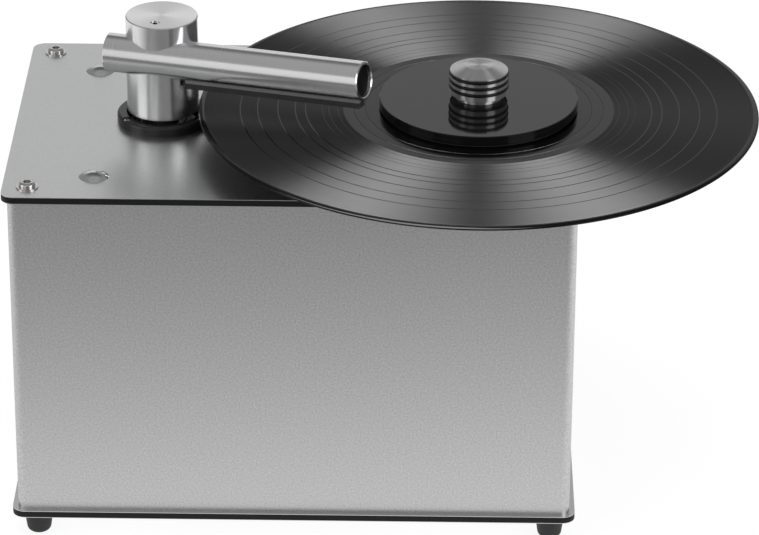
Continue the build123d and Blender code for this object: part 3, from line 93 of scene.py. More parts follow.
def maths(tree, operation, *values):
    """The output of a Math node on the given values or sockets."""
    return put(tree, "ShaderNodeMath", enumerate(values), operation=operation).outputs[0]


def fade(tree, value, span, levels, interpolation="SMOOTHSTEP"):
    """Carries a value over its span from one level to the other."""
    wires = {
        "Value": value,
        "From Min": span[0],
        "From Max": span[1],
        "To Min": levels[0],
        "To Max": levels[1],
    }
    made = put(tree, "ShaderNodeMapRange", wires, interpolation_type=interpolation)
    return made.outputs["Result"]


def grey(level):
    """An opaque neutral colour."""
    return (level, level, level, 1)


def soft_lamp(name, place, aim, width, height, radiance):
    """A rectangular studio lamp that shines as brightly as a surface of that radiance."""
    lamp = bpy.data.lights.new(name, "AREA")
    lamp.shape = "RECTANGLE"
    lamp.size = width
    lamp.size_y = height
    lamp.energy = radiance * pi * width * height
    stand = bpy.data.objects.new(name, lamp)
    bpy.context.scene.collection.objects.link(stand)
    stand.location = place
    stand.rotation_euler = (Vector(aim) - Vector(place)).to_track_quat("-Z", "Y").to_euler()
    return stand


machine_middle = (0, 0, 0.2)
cabinet_left = (-0.1, 0, 0.2)
fill_lamp = soft_lamp(
    "lamp_fill", place=(0, -0.3, 1.7), aim=machine_middle, width=1.6, height=1.6, radiance=1.4
)
fill_lamp.visible_glossy = False
soft_lamp(
    "lamp_left", place=(-1.5, -0.6, 0.7), aim=machine_middle, width=0.9, height=0.9, radiance=1.4
)
soft_lamp(
    "lamp_front_left", place=(-0.80, -1.40, 0.72), aim=cabinet_left, width=0.7, height=1.1, radiance=0.55
)
soft_lamp(
    "lamp_right", place=(1.28, -1.03, 0.75), aim=machine_middle, width=0.9, height=0.8, radiance=3.4
)

world = bpy.data.worlds.new("studio")
bpy.context.scene.world = world
world.use_nodes = True
sky = world.node_tree
sky.nodes.clear()
direction = put(sky, "ShaderNodeTexCoord").outputs["Generated"]
heading = put(sky, "ShaderNodeSeparateXYZ", {0: direction}).outputs
upward = maths(sky, "MAXIMUM", heading["Z"], 0.0)
frontward = maths(sky, "MULTIPLY", heading["Y"], -1.0)
over_angle = maths(sky, "ARCTAN2", upward, frontward)
room_arch = put(sky, "ShaderNodeValToRGB", {"Fac": maths(sky, "DIVIDE", over_angle, pi)})
# How bright the room is on the arch from the horizon in front, 0, over the top to the
# horizon behind, 1.
room_levels = (
    (0.0, 0.16), (0.2, 0.36), (0.3, 0.40), (0.6, 0.38), (0.68, 0.15),
    (0.78, 0.12), (0.815, 0.80), (0.90, 0.80), (0.95, 0.30), (1.0, 0.24),
)
for place, level_there in room_levels:
    stop = room_arch.color_ramp.elements.new(place)
    stop.color = grey(level_there)
room_arch.color_ramp.elements.remove(room_arch.color_ramp.elements[0])
room_arch.color_ramp.elements.remove(room_arch.color_ramp.elements[-1])
side_level = 0.30
side_span = (0.22, 0.55)
off_side = fade(sky, maths(sky, "ABSOLUTE", heading["X"]), side_span, (1.0, 0.0))
over_side = maths(sky, "SUBTRACT", room_arch.outputs["Color"], side_level)
room_level = maths(sky, "MULTIPLY_ADD", over_side, off_side, side_level)
path_kind = put(sky, "ShaderNodeLightPath")
seen_level = maths(sky, "MAXIMUM", room_level, path_kind.outputs["Is Camera Ray"])
backdrop = put(sky, "ShaderNodeBackground", {"Color": grey(1), "Strength": seen_level})
put(sky, "ShaderNodeOutputWorld", {"Surface": backdrop.outputs[0]})

# ------------------------------------------------------------------ table
# A sheet of white card on a table, wide enough to fill the view. Mirrored in the machine it shows a painted
# pool of light, an emission of its own that fades towards the front and grows towards the right; camera
# rays see it glow evenly white.
table_size = 6.0
white_level = 0.86
faint_level = 0.22
seen_glow = 0.88
# Span and levels of the painted pool of light along Y, and its tilt along X.
pool_span = (-0.58, -0.10)
pool_levels = (0.02, 0.77)
tilt_span = (-0.2, 0.4)
tilt_levels = (0.96, 1.14)
table = bpy.data.objects.new("table", bpy.data.meshes.new("table"))
bpy.context.scene.collection.objects.link(table)
corner = table_size / 2
table.data.from_pydata(
    [(-corner, -corner, 0), (corner, -corner, 0), (corner, corner, 0), (-corner, corner, 0)],
    [],
    [(0, 1, 2, 3)],
)
table_paint = bpy.data.materials.new("table_paint")
table_paint.use_nodes = True
paint = table_paint.node_tree
paint.nodes.clear()
ray = put(paint, "ShaderNodeLightPath")
white_card = put(paint, "ShaderNodeBsdfDiffuse", {"Color": grey(white_level)})
faint_card = put(paint, "ShaderNodeBsdfDiffuse", {"Color": grey(faint_level)})
spot = put(paint, "ShaderNodeSeparateXYZ", {0: put(paint, "ShaderNodeNewGeometry").outputs["Position"]})
# Painted pool of light: emission that glossy rays see, brighter towards the back and the right.
painted_pool = fade(paint, spot.outputs["Y"], pool_span, pool_levels)
pool_tilt = fade(paint, spot.outputs["X"], tilt_span, tilt_levels, interpolation="LINEAR")
pool_seen = maths(
    paint,
    "MAXIMUM",
    maths(paint, "MULTIPLY", painted_pool, pool_tilt),
    maths(paint, "MULTIPLY", ray.outputs["Is Camera Ray"], seen_glow),
)
glow = put(paint, "ShaderNodeEmission", {"Color": grey(1), "Strength": pool_seen})
glowing_card = put(paint, "ShaderNodeAddShader", {0: faint_card.outputs[0], 1: glow.outputs[0]})
direct_look = maths(paint, "MAXIMUM", ray.outputs["Is Camera Ray"], ray.outputs["Is Glossy Ray"])
table_mix = put(
    paint, "ShaderNodeMixShader", {0: direct_look, 1: white_card.outputs[0], 2: glowing_card.outputs[0]}
)
put(paint, "ShaderNodeOutputMaterial", {"Surface": table_mix.outputs[0]})
table.data.materials.append(table_paint)


# ------------------------------------------------------------------ cabinet
# One sheet of aluminium bent round the front and both sides and turned in at the back. It
# is bead blasted and clear anodised, which leaves a fine silver grain without a shine.
def shader_group(name, inputs, outputs):
    """An empty node group; inputs are (name, default) and outputs (name, kind)."""
    tree = bpy.data.node_groups.new(name, "ShaderNodeTree")
    for label, default in inputs:
        kind = "NodeSocketFloat"
        if isinstance(default, tuple):
            kind = "NodeSocketColor" if len(default) == 4 else "NodeSocketVector"
        tree.interface.new_socket(label, in_out="INPUT", socket_type=kind).default_value = default
    for label, kind in outputs:
        tree.interface.new_socket(label, in_out="OUTPUT", socket_type="NodeSocket" + kind)
    return tree, tree.nodes.new("NodeGroupInput").outputs


def shaded(tree, color, mask, contrast):
    """A colour made darker or lighter by a mask that swings between -1 and 1."""
    level = maths(tree, "MULTIPLY_ADD", mask, contrast, 1.0)
    return put(tree, "ShaderNodeVectorMath", {0: color, 3: level}, operation="SCALE").outputs[0]


def swing(tree, value):
    """Turns a noise value, whose mean is a half, into one that swings about nought."""
    return maths(tree, "MULTIPLY_ADD", value, 2.0, -1.0)


grain, grain_in = shader_group(
    "fine_grain",
    [("Color", (0.8, 0.8, 0.8, 1)), ("Size", 0.0005), ("Contrast", 0.05), ("Roughness", 0.4),
     ("Spread", 0.03), ("Stretch", (1.0, 1.0, 1.0))],
    [("Color", "Color"), ("Roughness", "Float"), ("Height", "Float")],
)
grain_place = put(grain, "ShaderNodeTexCoord").outputs["Object"]
grain_place = put(
    grain, "ShaderNodeVectorMath", {0: grain_place, 1: grain_in["Stretch"]}, operation="MULTIPLY"
).outputs[0]
grain_noise = put(
    grain,
    "ShaderNodeTexNoise",
    {"Vector": grain_place, "Scale": maths(grain, "DIVIDE", 1.0, grain_in["Size"]), "Detail": 2.0},
).outputs[0]
grain_mask = swing(grain, grain_noise)
put(
    grain,
    "NodeGroupOutput",
    {
        "Color": shaded(grain, grain_in["Color"], grain_mask, grain_in["Contrast"]),
        "Roughness": maths(grain, "MULTIPLY_ADD", grain_mask, grain_in["Spread"], grain_in["Roughness"]),
        "Height": grain_noise,
    },
)


def surface(name, effect, values, relief, shader=()):
    """A material on one Principled shader, fed by a group's colour, roughness and height."""
    made = bpy.data.materials.new(name)
    made.use_nodes = True
    tree = made.node_tree
    tree.nodes.clear()
    look = put(tree, "ShaderNodeGroup", node_tree=effect)
    for key, value in values.items():
        look.inputs[key].default_value = value
    bump = put(
        tree,
        "ShaderNodeBump",
        {"Height": look.outputs["Height"], "Distance": relief, "Strength": 1.0},
    )
    wires = {
        "Base Color": look.outputs["Color"],
        "Roughness": look.outputs["Roughness"],
        "Normal": bump.outputs[0],
    }
    principled = put(tree, "ShaderNodeBsdfPrincipled", {**wires, **dict(shader)})
    put(tree, "ShaderNodeOutputMaterial", {"Surface": principled.outputs[0]})
    return made


def dress(material, *nodes):
    """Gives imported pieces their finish."""
    for name in nodes:
        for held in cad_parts[name].material_slots:
            held.material = material


blasted_silver = surface(
    "blasted_silver",
    grain,
    {"Color": (0.60, 0.60, 0.605, 1), "Size": 0.0010, "Contrast": 0.35, "Roughness": 0.42, "Spread": 0.05},
    relief=0.00002,
    shader={"Metallic": 1.0},
)
dress(blasted_silver, "cabinet_wrap")

# ------------------------------------------------------------------ top and base panels
# Sandwich panels: a black polyethylene core between thin satin aluminium skins, with the
# black core showing all round the edge between two bright lines.
satin_skin = surface(
    "satin_skin",
    grain,
    {"Color": (0.70, 0.705, 0.705, 1), "Size": 0.0010, "Contrast": 0.12, "Roughness": 0.34, "Spread": 0.03},
    relief=0.00001,
    shader={"Metallic": 1.0},
)
black_core = surface(
    "black_core",
    grain,
    {"Color": grey(0.007), "Size": 0.0012, "Contrast": 0.3, "Roughness": 0.5, "Spread": 0.1},
    relief=0.00003,
    shader={"Specular IOR Level": 0.25},
)
dress(satin_skin, "deck_skins", "base_skins")
dress(black_core, "deck_core", "base_core")

# ------------------------------------------------------------------ panel screws and dome bolts
# Stainless flanged button screws with hex sockets hold the top panel's corners. Two low
# zinc-plated domes hold the waste tank's pillars under it.
bright_stainless = surface(
    "bright_stainless",
    grain,
    {"Color": (0.62, 0.61, 0.60, 1), "Size": 0.0015, "Contrast": 0.08, "Roughness": 0.2, "Spread": 0.06},
    relief=0.00001,
    shader={"Metallic": 1.0},
)
zinc_plate = surface(
    "zinc_plate",
    grain,
    {"Color": (0.66, 0.67, 0.68, 1), "Size": 0.002, "Contrast": 0.10, "Roughness": 0.13, "Spread": 0.05},
    relief=0.00002,
    shader={"Metallic": 1.0},
)
dress(bright_stainless, "deck_screws")
dress(zinc_plate, "dome_bolts")

# ------------------------------------------------------------------ rear panel
# A flat plate of the same blasted aluminium closes the back. It stands inside the wrap's
# turned-in edges, and pan-head screws through them hold it.
dress(blasted_silver, "rear_panel")
dress(bright_stainless, "rear_screws")

# ------------------------------------------------------------------ feet
# Moulded black rubber feet, dull, with a faint cloudy bloom. Each is bonded round the head
# of its own zinc-plated stud.
dull_rubber = surface(
    "dull_rubber",
    grain,
    {"Color": grey(0.022), "Size": 0.003, "Contrast": 0.25, "Roughness": 0.62, "Spread": 0.12},
    relief=0.00006,
)
dress(dull_rubber, "rubber_feet")
dress(zinc_plate, "foot_studs")

# ------------------------------------------------------------------ arm flange
# A black anodised aluminium ring with a soft sheen. Three stainless screws hold it down
# through the top panel.
black_anodised = surface(
    "black_anodised",
    grain,
    {"Color": grey(0.012), "Size": 0.0006, "Contrast": 0.2, "Roughness": 0.3, "Spread": 0.05},
    relief=0.00001,
)
dress(black_anodised, "arm_flange")
dress(bright_stainless, "flange_screws")

# ------------------------------------------------------------------ arm column
# A bar of aluminium turned on a lathe and lightly polished. Its tool marks run round it,
# and in rings on its top, so each highlight is drawn out across them. A small stainless
# screw from above locks the tube in it.
marks, marks_in = shader_group(
    "turning_marks",
    [("Color", (0.8, 0.8, 0.8, 1)), ("Pitch", 0.0003), ("Contrast", 0.05), ("Roughness", 0.2),
     ("Spread", 0.03), ("Axis", (0.0, 0.0, 1.0)), ("Centre", (0.0, 0.0, 0.0))],
    [("Color", "Color"), ("Roughness", "Float"), ("Height", "Float")],
)
marks_place = put(marks, "ShaderNodeTexCoord").outputs["Object"]
from_centre = put(
    marks, "ShaderNodeVectorMath", {0: marks_place, 1: marks_in["Centre"]}, operation="SUBTRACT"
).outputs[0]
travel = put(
    marks, "ShaderNodeVectorMath", {0: from_centre, 1: marks_in["Axis"]}, operation="DOT_PRODUCT"
).outputs["Value"]
arm_out = put(
    marks, "ShaderNodeVectorMath", {0: from_centre, 1: marks_in["Axis"]}, operation="CROSS_PRODUCT"
).outputs[0]
radius = put(marks, "ShaderNodeVectorMath", {0: arm_out}, operation="LENGTH").outputs["Value"]
tool_path = maths(marks, "DIVIDE", maths(marks, "ADD", travel, radius), marks_in["Pitch"])
marks_noise = put(
    marks, "ShaderNodeTexNoise", {"W": tool_path, "Scale": 1.0, "Detail": 3.0}, noise_dimensions="1D"
).outputs[0]
marks_mask = swing(marks, marks_noise)
put(
    marks,
    "NodeGroupOutput",
    {
        "Color": shaded(marks, marks_in["Color"], marks_mask, marks_in["Contrast"]),
        "Roughness": maths(marks, "MULTIPLY_ADD", marks_mask, marks_in["Spread"], marks_in["Roughness"]),
        "Height": marks_noise,
    },
)


def turned(name, values, relief, axis="Z", shader=()):
    """A turned finish whose highlights stretch across the tool marks round the given axis."""
    across_marks = {"Anisotropic Rotation": 0.25, **dict(shader)}
    made = surface(name, marks, values, relief, shader=across_marks)
    tree = made.node_tree
    round_axis = put(tree, "ShaderNodeTangent", direction_type="RADIAL", axis=axis)
    principled = next(n for n in tree.nodes if n.type == "BSDF_PRINCIPLED")
    tree.links.new(round_axis.outputs[0], principled.inputs["Tangent"])
    return made


deck_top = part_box("deck_skins")[1].z
column_low, column_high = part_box("arm_column")
column_axis = (column_low + column_high) / 2
turned_column = turned(
    "turned_column",
    {"Color": (0.80, 0.80, 0.81, 1), "Pitch": 0.0003, "Contrast": 0.05, "Roughness": 0.23,
     "Spread": 0.04, "Centre": column_axis},
    relief=0.000004,
    shader={"Metallic": 1.0, "Anisotropic": 0.85},
)
dress(turned_column, "arm_column")
dress(bright_stainless, "tube_set_screw")

# ------------------------------------------------------------------ arm tube
# A drawn aluminium tube through the column, polished with the cloth running round it. A
# slot under it lets the air in, and its far end is cut a little aslant. A black plug
# closes it at each end.
tube_r = 0.0105
tube_bore_r = 0.0086
tube_offset = 0.0115
tube_height = 0.0411
tube_reach = 0.1164
tube_tail = 0.0269
tube_yaw = radians(14.5)
tip_cut_yaw = radians(9.0)
tip_cut_pitch = radians(6.8)
rim_chamfer = 0.00045
slot_half_w = 0.0005
slot_start = 0.0185
slot_tip_gap = 0.005
slot_end = tube_reach - slot_tip_gap
along = Vector((cos(tube_yaw), -sin(tube_yaw), 0))
sideways = Vector((-sin(tube_yaw), -cos(tube_yaw), 0))
tube_foot = Vector((column_axis.x, column_axis.y, deck_top + tube_height)) + sideways * tube_offset
tube_seat = Matrix.Translation(tube_foot) @ Matrix((along, -sideways, (0, 0, 1))).transposed().to_4x4()


def new_piece(name, mesh, material, body, sharp=radians(30)):
    """A smooth-shaded object on a body, with its creases kept sharp."""
    piece = bpy.data.objects.new(name, mesh)
    bpy.context.scene.collection.objects.link(piece)
    mesh.polygons.foreach_set("use_smooth", [True] * len(mesh.polygons))
    mesh.set_sharp_from_angle(angle=sharp)
    mesh.materials.append(material)
    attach(piece, body)
    return piece


def mesh_of(name, shape, closed=True):
    """Turns a bmesh into a mesh; a closed one gets its faces turned outwards."""
    if closed:
        bmesh.ops.recalc_face_normals(shape, faces=shape.faces)
    mesh = bpy.data.meshes.new(name)
    shape.to_mesh(mesh)
    shape.free()
    return mesh


tube_steps = 120
slot_angle = slot_half_w / tube_r
outer_slot = 4
inner_slot = 10


def tube_length(y, z, setback):
    """Where the aslant end plane meets the line along the tube at y, z."""
    return tube_reach - setback + y * tan(tip_cut_yaw) - z * tan(tip_cut_pitch)


def tube_mesh():
    """The tube with chamfered rims and the slot along its underside."""
    shape = bmesh.new()
    sections = [
        (-tube_tail + rim_chamfer, tube_bore_r),
        (-tube_tail, tube_bore_r + rim_chamfer),
        (-tube_tail, tube_r - rim_chamfer),
        (-tube_tail + rim_chamfer, tube_r),
        (slot_start, tube_r),
        (slot_end, tube_r),
        ("tip", tube_r, rim_chamfer),
        ("tip", tube_r - rim_chamfer, 0.0),
        ("tip", tube_bore_r + rim_chamfer, 0.0),
        ("tip", tube_bore_r, rim_chamfer),
        (slot_end, tube_bore_r),
        (slot_start, tube_bore_r),
    ]
    turns = [slot_angle + i * (2 * pi - 2 * slot_angle) / tube_steps for i in range(tube_steps + 1)]
    rings = []
    for section in sections:
        ring = []
        for turn in turns:
            r = section[1]
            y, z = r * sin(turn), -r * cos(turn)
            x = tube_length(y, z, section[2]) if section[0] == "tip" else section[0]
            ring.append(shape.verts.new((x, y, z)))
        rings.append(ring)
    count = len(rings)
    for a in range(count):
        low, high = rings[a], rings[(a + 1) % count]
        for i in range(tube_steps):
            shape.faces.new((low[i], low[i + 1], high[i + 1], high[i]))
        if a not in (outer_slot, inner_slot):
            shape.faces.new((low[-1], low[0], high[0], high[-1]))
    outer = (rings[outer_slot], rings[outer_slot + 1])
    inner = (rings[inner_slot + 1], rings[inner_slot])
    shape.faces.new((outer[0][0], outer[1][0], inner[1][0], inner[0][0]))
    shape.faces.new((outer[0][-1], inner[0][-1], inner[1][-1], outer[1][-1]))
    shape.faces.new((outer[0][0], inner[0][0], inner[0][-1], outer[0][-1]))
    shape.faces.new((outer[1][0], outer[1][-1], inner[1][-1], inner[1][0]))
    return mesh_of("tube", shape)


polished_tube = turned(
    "polished_tube",
    {"Color": (0.82, 0.82, 0.83, 1), "Pitch": 0.0006, "Contrast": 0.09, "Roughness": 0.24,
     "Spread": 0.06, "Axis": (1.0, 0.0, 0.0)},
    relief=0.000003,
    axis="X",
    shader={"Metallic": 1.0, "Anisotropic": 0.4},
)
tube = new_piece("suction_tube", tube_mesh(), polished_tube, "arm")
tube.matrix_world = tube_seat
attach(tube, "arm")
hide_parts("arm_tube")
black_plug = surface(
    "black_plug",
    grain,
    {"Color": grey(0.003), "Size": 0.001, "Contrast": 0.2, "Roughness": 0.5, "Spread": 0.1},
    relief=0.00003,
    shader={"Specular IOR Level": 0.12},
)
dress(black_plug, "tube_end_plugs")

# ------------------------------------------------------------------ suction strips
# Two stiff grey backings are glued under the tube, one each side of the slot, and each
# carries a strip of short dark velvet whose cut edges are a little loose.
grey_backing = surface(
    "grey_backing",
    grain,
    {"Color": (0.22, 0.23, 0.22, 1), "Size": 0.0012, "Contrast": 0.12, "Roughness": 0.5, "Spread": 0.1},
    relief=0.00005,
)
dark_velvet = surface(
    "dark_velvet",
    grain,
    {"Color": (0.040, 0.043, 0.040, 1), "Size": 0.0005, "Contrast": 0.8, "Roughness": 0.85, "Spread": 0.1},
    relief=0.0004,
    shader={"Sheen Weight": 0.15, "Sheen Roughness": 0.4},
)
dress(grey_backing, "strip_backings")
dress(dark_velvet, "velvet_strips")
strip_start = 0.0173
strip_end_gap = 0.0032
strip_inner = 0.0005
strip_outer = 0.003
velvet_low = -0.0151
velvet_h = 0.0031
fibre_count = 7000
fibre_half_w = 0.00006
fibre_shortest = 0.0003
fibre_longest = 0.0008
fibre_root = 0.0002
frayed_length = 2.2
sheared_length = 0.45
low_crowding = 1.4
bend_share = 0.6
# Shares of the fibres, each added to the one before: at the column's end, at the tip and
# on the outer sides. The rest hang from the lower faces.
start_share = 0.05
tip_share = 0.09
side_share = 0.80


def pile_mesh():
    """Loose fibres on the velvet's outer sides, its ends and its lower edges."""
    chance = random.Random(5)
    shape = bmesh.new()
    for _ in range(fibre_count):
        side = chance.choice((-1, 1))
        share = chance.random()
        y = side * chance.uniform(strip_inner, strip_outer)
        z = velvet_low + velvet_h * chance.random() ** low_crowding
        last = tube_length(y, z, strip_end_gap)
        x = chance.uniform(strip_start, last)
        lean = Vector((chance.gauss(0, 0.6), 0.0, -0.25 * chance.random()))
        length = chance.uniform(fibre_shortest, fibre_longest)
        if share < start_share:
            x = strip_start
            lean += Vector((-1.0, side * 0.3 * chance.random(), 0))
            length *= frayed_length
        elif share < tip_share:
            x = last
            lean += Vector((1.0, 0, 0))
        elif share < side_share:
            y = side * strip_outer
            lean += Vector((0, side * 0.8, -0.5))
        else:
            z = velvet_low
            lean += Vector((0, side * 0.3, -0.3))
            length *= sheared_length
        lean.normalize()
        root = Vector((x, y, z)) - lean * fibre_root
        curl = Vector((chance.gauss(0, 0.3), chance.gauss(0, 0.2), chance.gauss(0, 0.15)))
        middle = root + lean * length * bend_share
        end = root + (lean + curl).normalized() * length
        broad = lean.cross(Vector((chance.gauss(0, 1), chance.gauss(0, 1), chance.gauss(0, 1))))
        broad = broad.normalized() * fibre_half_w
        a = shape.verts.new(root - broad)
        b = shape.verts.new(root + broad)
        c = shape.verts.new(middle + broad * 0.8)
        d = shape.verts.new(middle - broad * 0.8)
        e = shape.verts.new(end)
        shape.faces.new((a, b, c, d))
        shape.faces.new((d, c, e))
    return mesh_of("velvet_pile", shape, closed=False)


pile = new_piece("velvet_pile", pile_mesh(), dark_velvet, "arm")
pile.matrix_world = tube_seat
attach(pile, "arm")

# ------------------------------------------------------------------ arm stem, guide and spring
# A turned aluminium stem slides in a turned guide bush. A spring of music wire stands in a
# pocket of the bush and lifts the arm through an acetal washer.
turned_bar = turned(
    "turned_bar",
    {"Color": (0.74, 0.74, 0.74, 1), "Pitch": 0.0004, "Contrast": 0.06, "Roughness": 0.28,
     "Spread": 0.05, "Centre": column_axis},
    relief=0.000006,
    shader={"Metallic": 1.0, "Anisotropic": 0.4},
)
natural_acetal = surface(
    "natural_acetal",
    grain,
    {"Color": (0.80, 0.79, 0.74, 1), "Size": 0.004, "Contrast": 0.04, "Roughness": 0.38, "Spread": 0.06},
    relief=0.00002,
    shader={"Subsurface Weight": 0.15, "Subsurface Scale": 0.002},
)
spring_wire = surface(
    "spring_wire",
    grain,
    {"Color": (0.46, 0.46, 0.47, 1), "Size": 0.0006, "Contrast": 0.15, "Roughness": 0.26,
     "Spread": 0.08, "Stretch": (1.0, 1.0, 0.3)},
    relief=0.000006,
    shader={"Metallic": 1.0},
)
dress(turned_bar, "arm_guide", "arm_stem", "stem_collar")
dress(natural_acetal, "thrust_washer")
spring_low, spring_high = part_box("lift_spring")
wire_r = 0.0009
coil_r = (spring_high.x - spring_low.x) / 2 - wire_r
coil_turns = 6
coil_steps = 40
wire_sides = 12


def round_section(shape, middle, out, over, r, sides):
    """A ring of vertices round a point, in the plane of the two given directions."""
    turns = [2 * pi * k / sides for k in range(sides)]
    return [shape.verts.new(middle + out * r * cos(t) + over * r * sin(t)) for t in turns]


def bridge(shape, low, high):
    """The faces between two closed rings of vertices."""
    made = []
    for k in range(len(low)):
        after = (k + 1) % len(low)
        made.append(shape.faces.new((low[k], low[after], high[after], high[k])))
    return made


def spring_mesh():
    """The helix of the open coils, with its wire ends cut square."""
    shape = bmesh.new()
    rise = spring_high.z - spring_low.z - 2 * wire_r
    total = coil_turns * coil_steps
    slope = rise / (2 * pi * coil_r * coil_turns)
    rings = []
    for i in range(total + 1):
        turn = 2 * pi * i / coil_steps
        out = Vector((cos(turn), sin(turn), 0))
        ahead_wire = Vector((-sin(turn), cos(turn), slope)).normalized()
        over = ahead_wire.cross(out)
        middle = Vector((column_axis.x, column_axis.y, spring_low.z + wire_r + rise * i / total))
        middle += out * coil_r
        rings.append(round_section(shape, middle, out, over, wire_r, wire_sides))
    for low, high in zip(rings, rings[1:]):
        bridge(shape, low, high)
    shape.faces.new(rings[0])
    shape.faces.new(list(reversed(rings[-1])))
    return mesh_of("spring", shape)


spring = new_piece("spring_coils", spring_mesh(), spring_wire, "root")
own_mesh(spring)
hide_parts("lift_spring")

# ------------------------------------------------------------------ platter and spindle
# A small turned aluminium platter under a rubber mat, on a stainless spindle whose thread
# takes the clamp.
record_low, record_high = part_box("record")
spindle_axis = (record_low + record_high) / 2
turned_platter = turned(
    "turned_platter",
    {"Color": (0.74, 0.74, 0.74, 1), "Pitch": 0.0004, "Contrast": 0.06, "Roughness": 0.28,
     "Spread": 0.05, "Centre": spindle_axis},
    relief=0.000006,
    shader={"Metallic": 1.0, "Anisotropic": 0.4},
)
dress(turned_platter, "platter")
dress(dull_rubber, "platter_mat")
dress(bright_stainless, "spindle")

# ------------------------------------------------------------------ record
# A pressed vinyl record with a rim bead, five track gaps and a run-out. Its grooves are a
# thin skin of their own that two strong lamps light alone, because a groove's walls throw
# far more light into bright wedges than a flat face does. A third lamp lights the rim.
record_r = 0.15045
record_hole_r = 0.00362
record_half = 0.001
groove_sink = 0.0003
band_sink = 0.000015
label_r = 0.050
run_out_lines = (0.0609, 0.0671)
groove_inner_r = 0.0729
faint_gaps = (0.0757, 0.0806, 0.0841)
track_gaps = (0.0931, 0.0986, 0.1079, 0.1188, 0.1281)
groove_outer_r = 0.1454
rim_bead_r = 0.1480
gap_half_w = 0.0003
faint_half_w = 0.00012
record_steps = 288
groove_lift = 0.00001
hole_bevel_w = 0.0003
hole_bevel_h = 0.0002
run_out_half_w = 0.00015
run_out_sink = 0.000006
band_floor_share = 0.6
lip_w = 0.0008
lip_rise = 0.00005
bead_inner_w = 0.0006
bead_inner_drop = 0.00004
bead_outer_w = 0.0010
bead_outer_drop = 0.00008
edge_w = 0.0006
edge_drop = 0.00035
edge_round = 0.00015
edge_high = 0.0004
edge_low = 0.00012


def record_profile():
    """Points from the hole to the rim: radius, height above the middle, and whether the face
    that follows is smooth or carries a groove."""
    face = record_half
    low = record_half - groove_sink
    line = [
        (record_hole_r, face - hole_bevel_h, True),
        (record_hole_r + hole_bevel_w, face, True),
        (label_r, face, True),
    ]
    slope = (low - face) / (groove_inner_r - label_r)
    for r in run_out_lines:
        here = face + slope * (r - label_r)
        line += [
            (r - run_out_half_w, here, False),
            (r, here - run_out_sink, False),
            (r + run_out_half_w, here, True),
        ]
    line.append((groove_inner_r, low, False))
    bands = [(r, faint_half_w) for r in faint_gaps] + [(r, gap_half_w) for r in track_gaps]
    for r, half_w in bands:
        line += [
            (r - half_w, low, True),
            (r - half_w * band_floor_share, low - band_sink, True),
            (r + half_w * band_floor_share, low - band_sink, True),
            (r + half_w, low, False),
        ]
    line += [
        (groove_outer_r, low, False),
        (groove_outer_r + lip_w, low + lip_rise, False),
        (rim_bead_r - bead_inner_w, face - bead_inner_drop, True),
        (rim_bead_r, face, True),
        (rim_bead_r + bead_outer_w, face - bead_outer_drop, True),
        (record_r - edge_w, face - edge_drop, True),
        (record_r - edge_round, edge_high, True),
        (record_r, edge_low, True),
    ]
    return line


def record_ring(shape, r, z):
    """A ring of vertices of that radius, at a height from the record's middle."""
    middle = spindle_axis
    turns = [2 * pi * i / record_steps for i in range(record_steps)]
    return [shape.verts.new((middle.x + r * cos(t), middle.y + r * sin(t), middle.z + z)) for t in turns]


def record_mesh():
    """The whole disc turned about its hole; grooved faces take the second material."""
    shape = bmesh.new()
    upper = record_profile()
    lower = [(r, -z, False) for r, z, _ in reversed(upper)]
    smooth_after = [smooth for _, _, smooth in upper]
    smooth_after += [smooth for _, _, smooth in reversed(upper[:-1])] + [True]
    line = upper + lower
    rings = [record_ring(shape, r, z) for r, z, _ in line]
    for low, high, smooth in zip(rings, rings[1:] + rings[:1], smooth_after):
        for face in bridge(shape, low, high):
            face.material_index = 0 if smooth else 1
    return mesh_of("record", shape)


def grooves_mesh():
    """The grooved rings of the upper face, just clear of the disc under them."""
    shape = bmesh.new()
    line = record_profile()
    for (r, z, smooth), (next_r, next_z, _) in zip(line, line[1:]):
        if smooth:
            continue
        inner = record_ring(shape, r, z + groove_lift)
        outer = record_ring(shape, next_r, next_z + groove_lift)
        for i in range(record_steps):
            after = (i + 1) % record_steps
            shape.faces.new((inner[i], outer[i], outer[after], inner[after]))
    return mesh_of("record_grooves", shape, closed=False)


smooth_vinyl = turned(
    "smooth_vinyl",
    {"Color": grey(0.0005), "Pitch": 0.0009, "Contrast": 0.1, "Roughness": 0.15,
     "Spread": 0.03, "Centre": spindle_axis},
    relief=0.000001,
    shader={"Anisotropic": 0.3, "Specular IOR Level": 0.18},
)
grooved_vinyl = turned(
    "grooved_vinyl",
    {"Color": grey(0.0005), "Pitch": 0.0007, "Contrast": 0.25, "Roughness": 0.5,
     "Spread": 0.05, "Centre": spindle_axis},
    relief=0.000004,
    shader={"Anisotropic": 1.0, "Specular IOR Level": 0.12},
)
disc = new_piece("pressed_record", record_mesh(), smooth_vinyl, "platter", sharp=radians(45))
disc.data.materials.append(grooved_vinyl)
grooves = new_piece("record_grooves", grooves_mesh(), grooved_vinyl, "platter")
groove_light = bpy.data.collections.new("groove_light")
groove_light.objects.link(grooves)
for name, x in (("lamp_groove_left", -0.76), ("lamp_groove_right", 0.84)):
    lamp = soft_lamp(
        name, place=(x, -0.1, 1.6), aim=(x / 2, 0, 0.2), width=1.1, height=1.2, radiance=86.0
    )
    lamp.light_linking.receiver_collection = groove_light
rim_light = bpy.data.collections.new("rim_light")
rim_light.objects.link(disc)
rim_lamp = soft_lamp(
    "lamp_rim", place=(-0.3, -0.1, 1.7), aim=machine_middle, width=1.6, height=1.2, radiance=12.0
)
rim_lamp.light_linking.receiver_collection = rim_light
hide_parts("record")

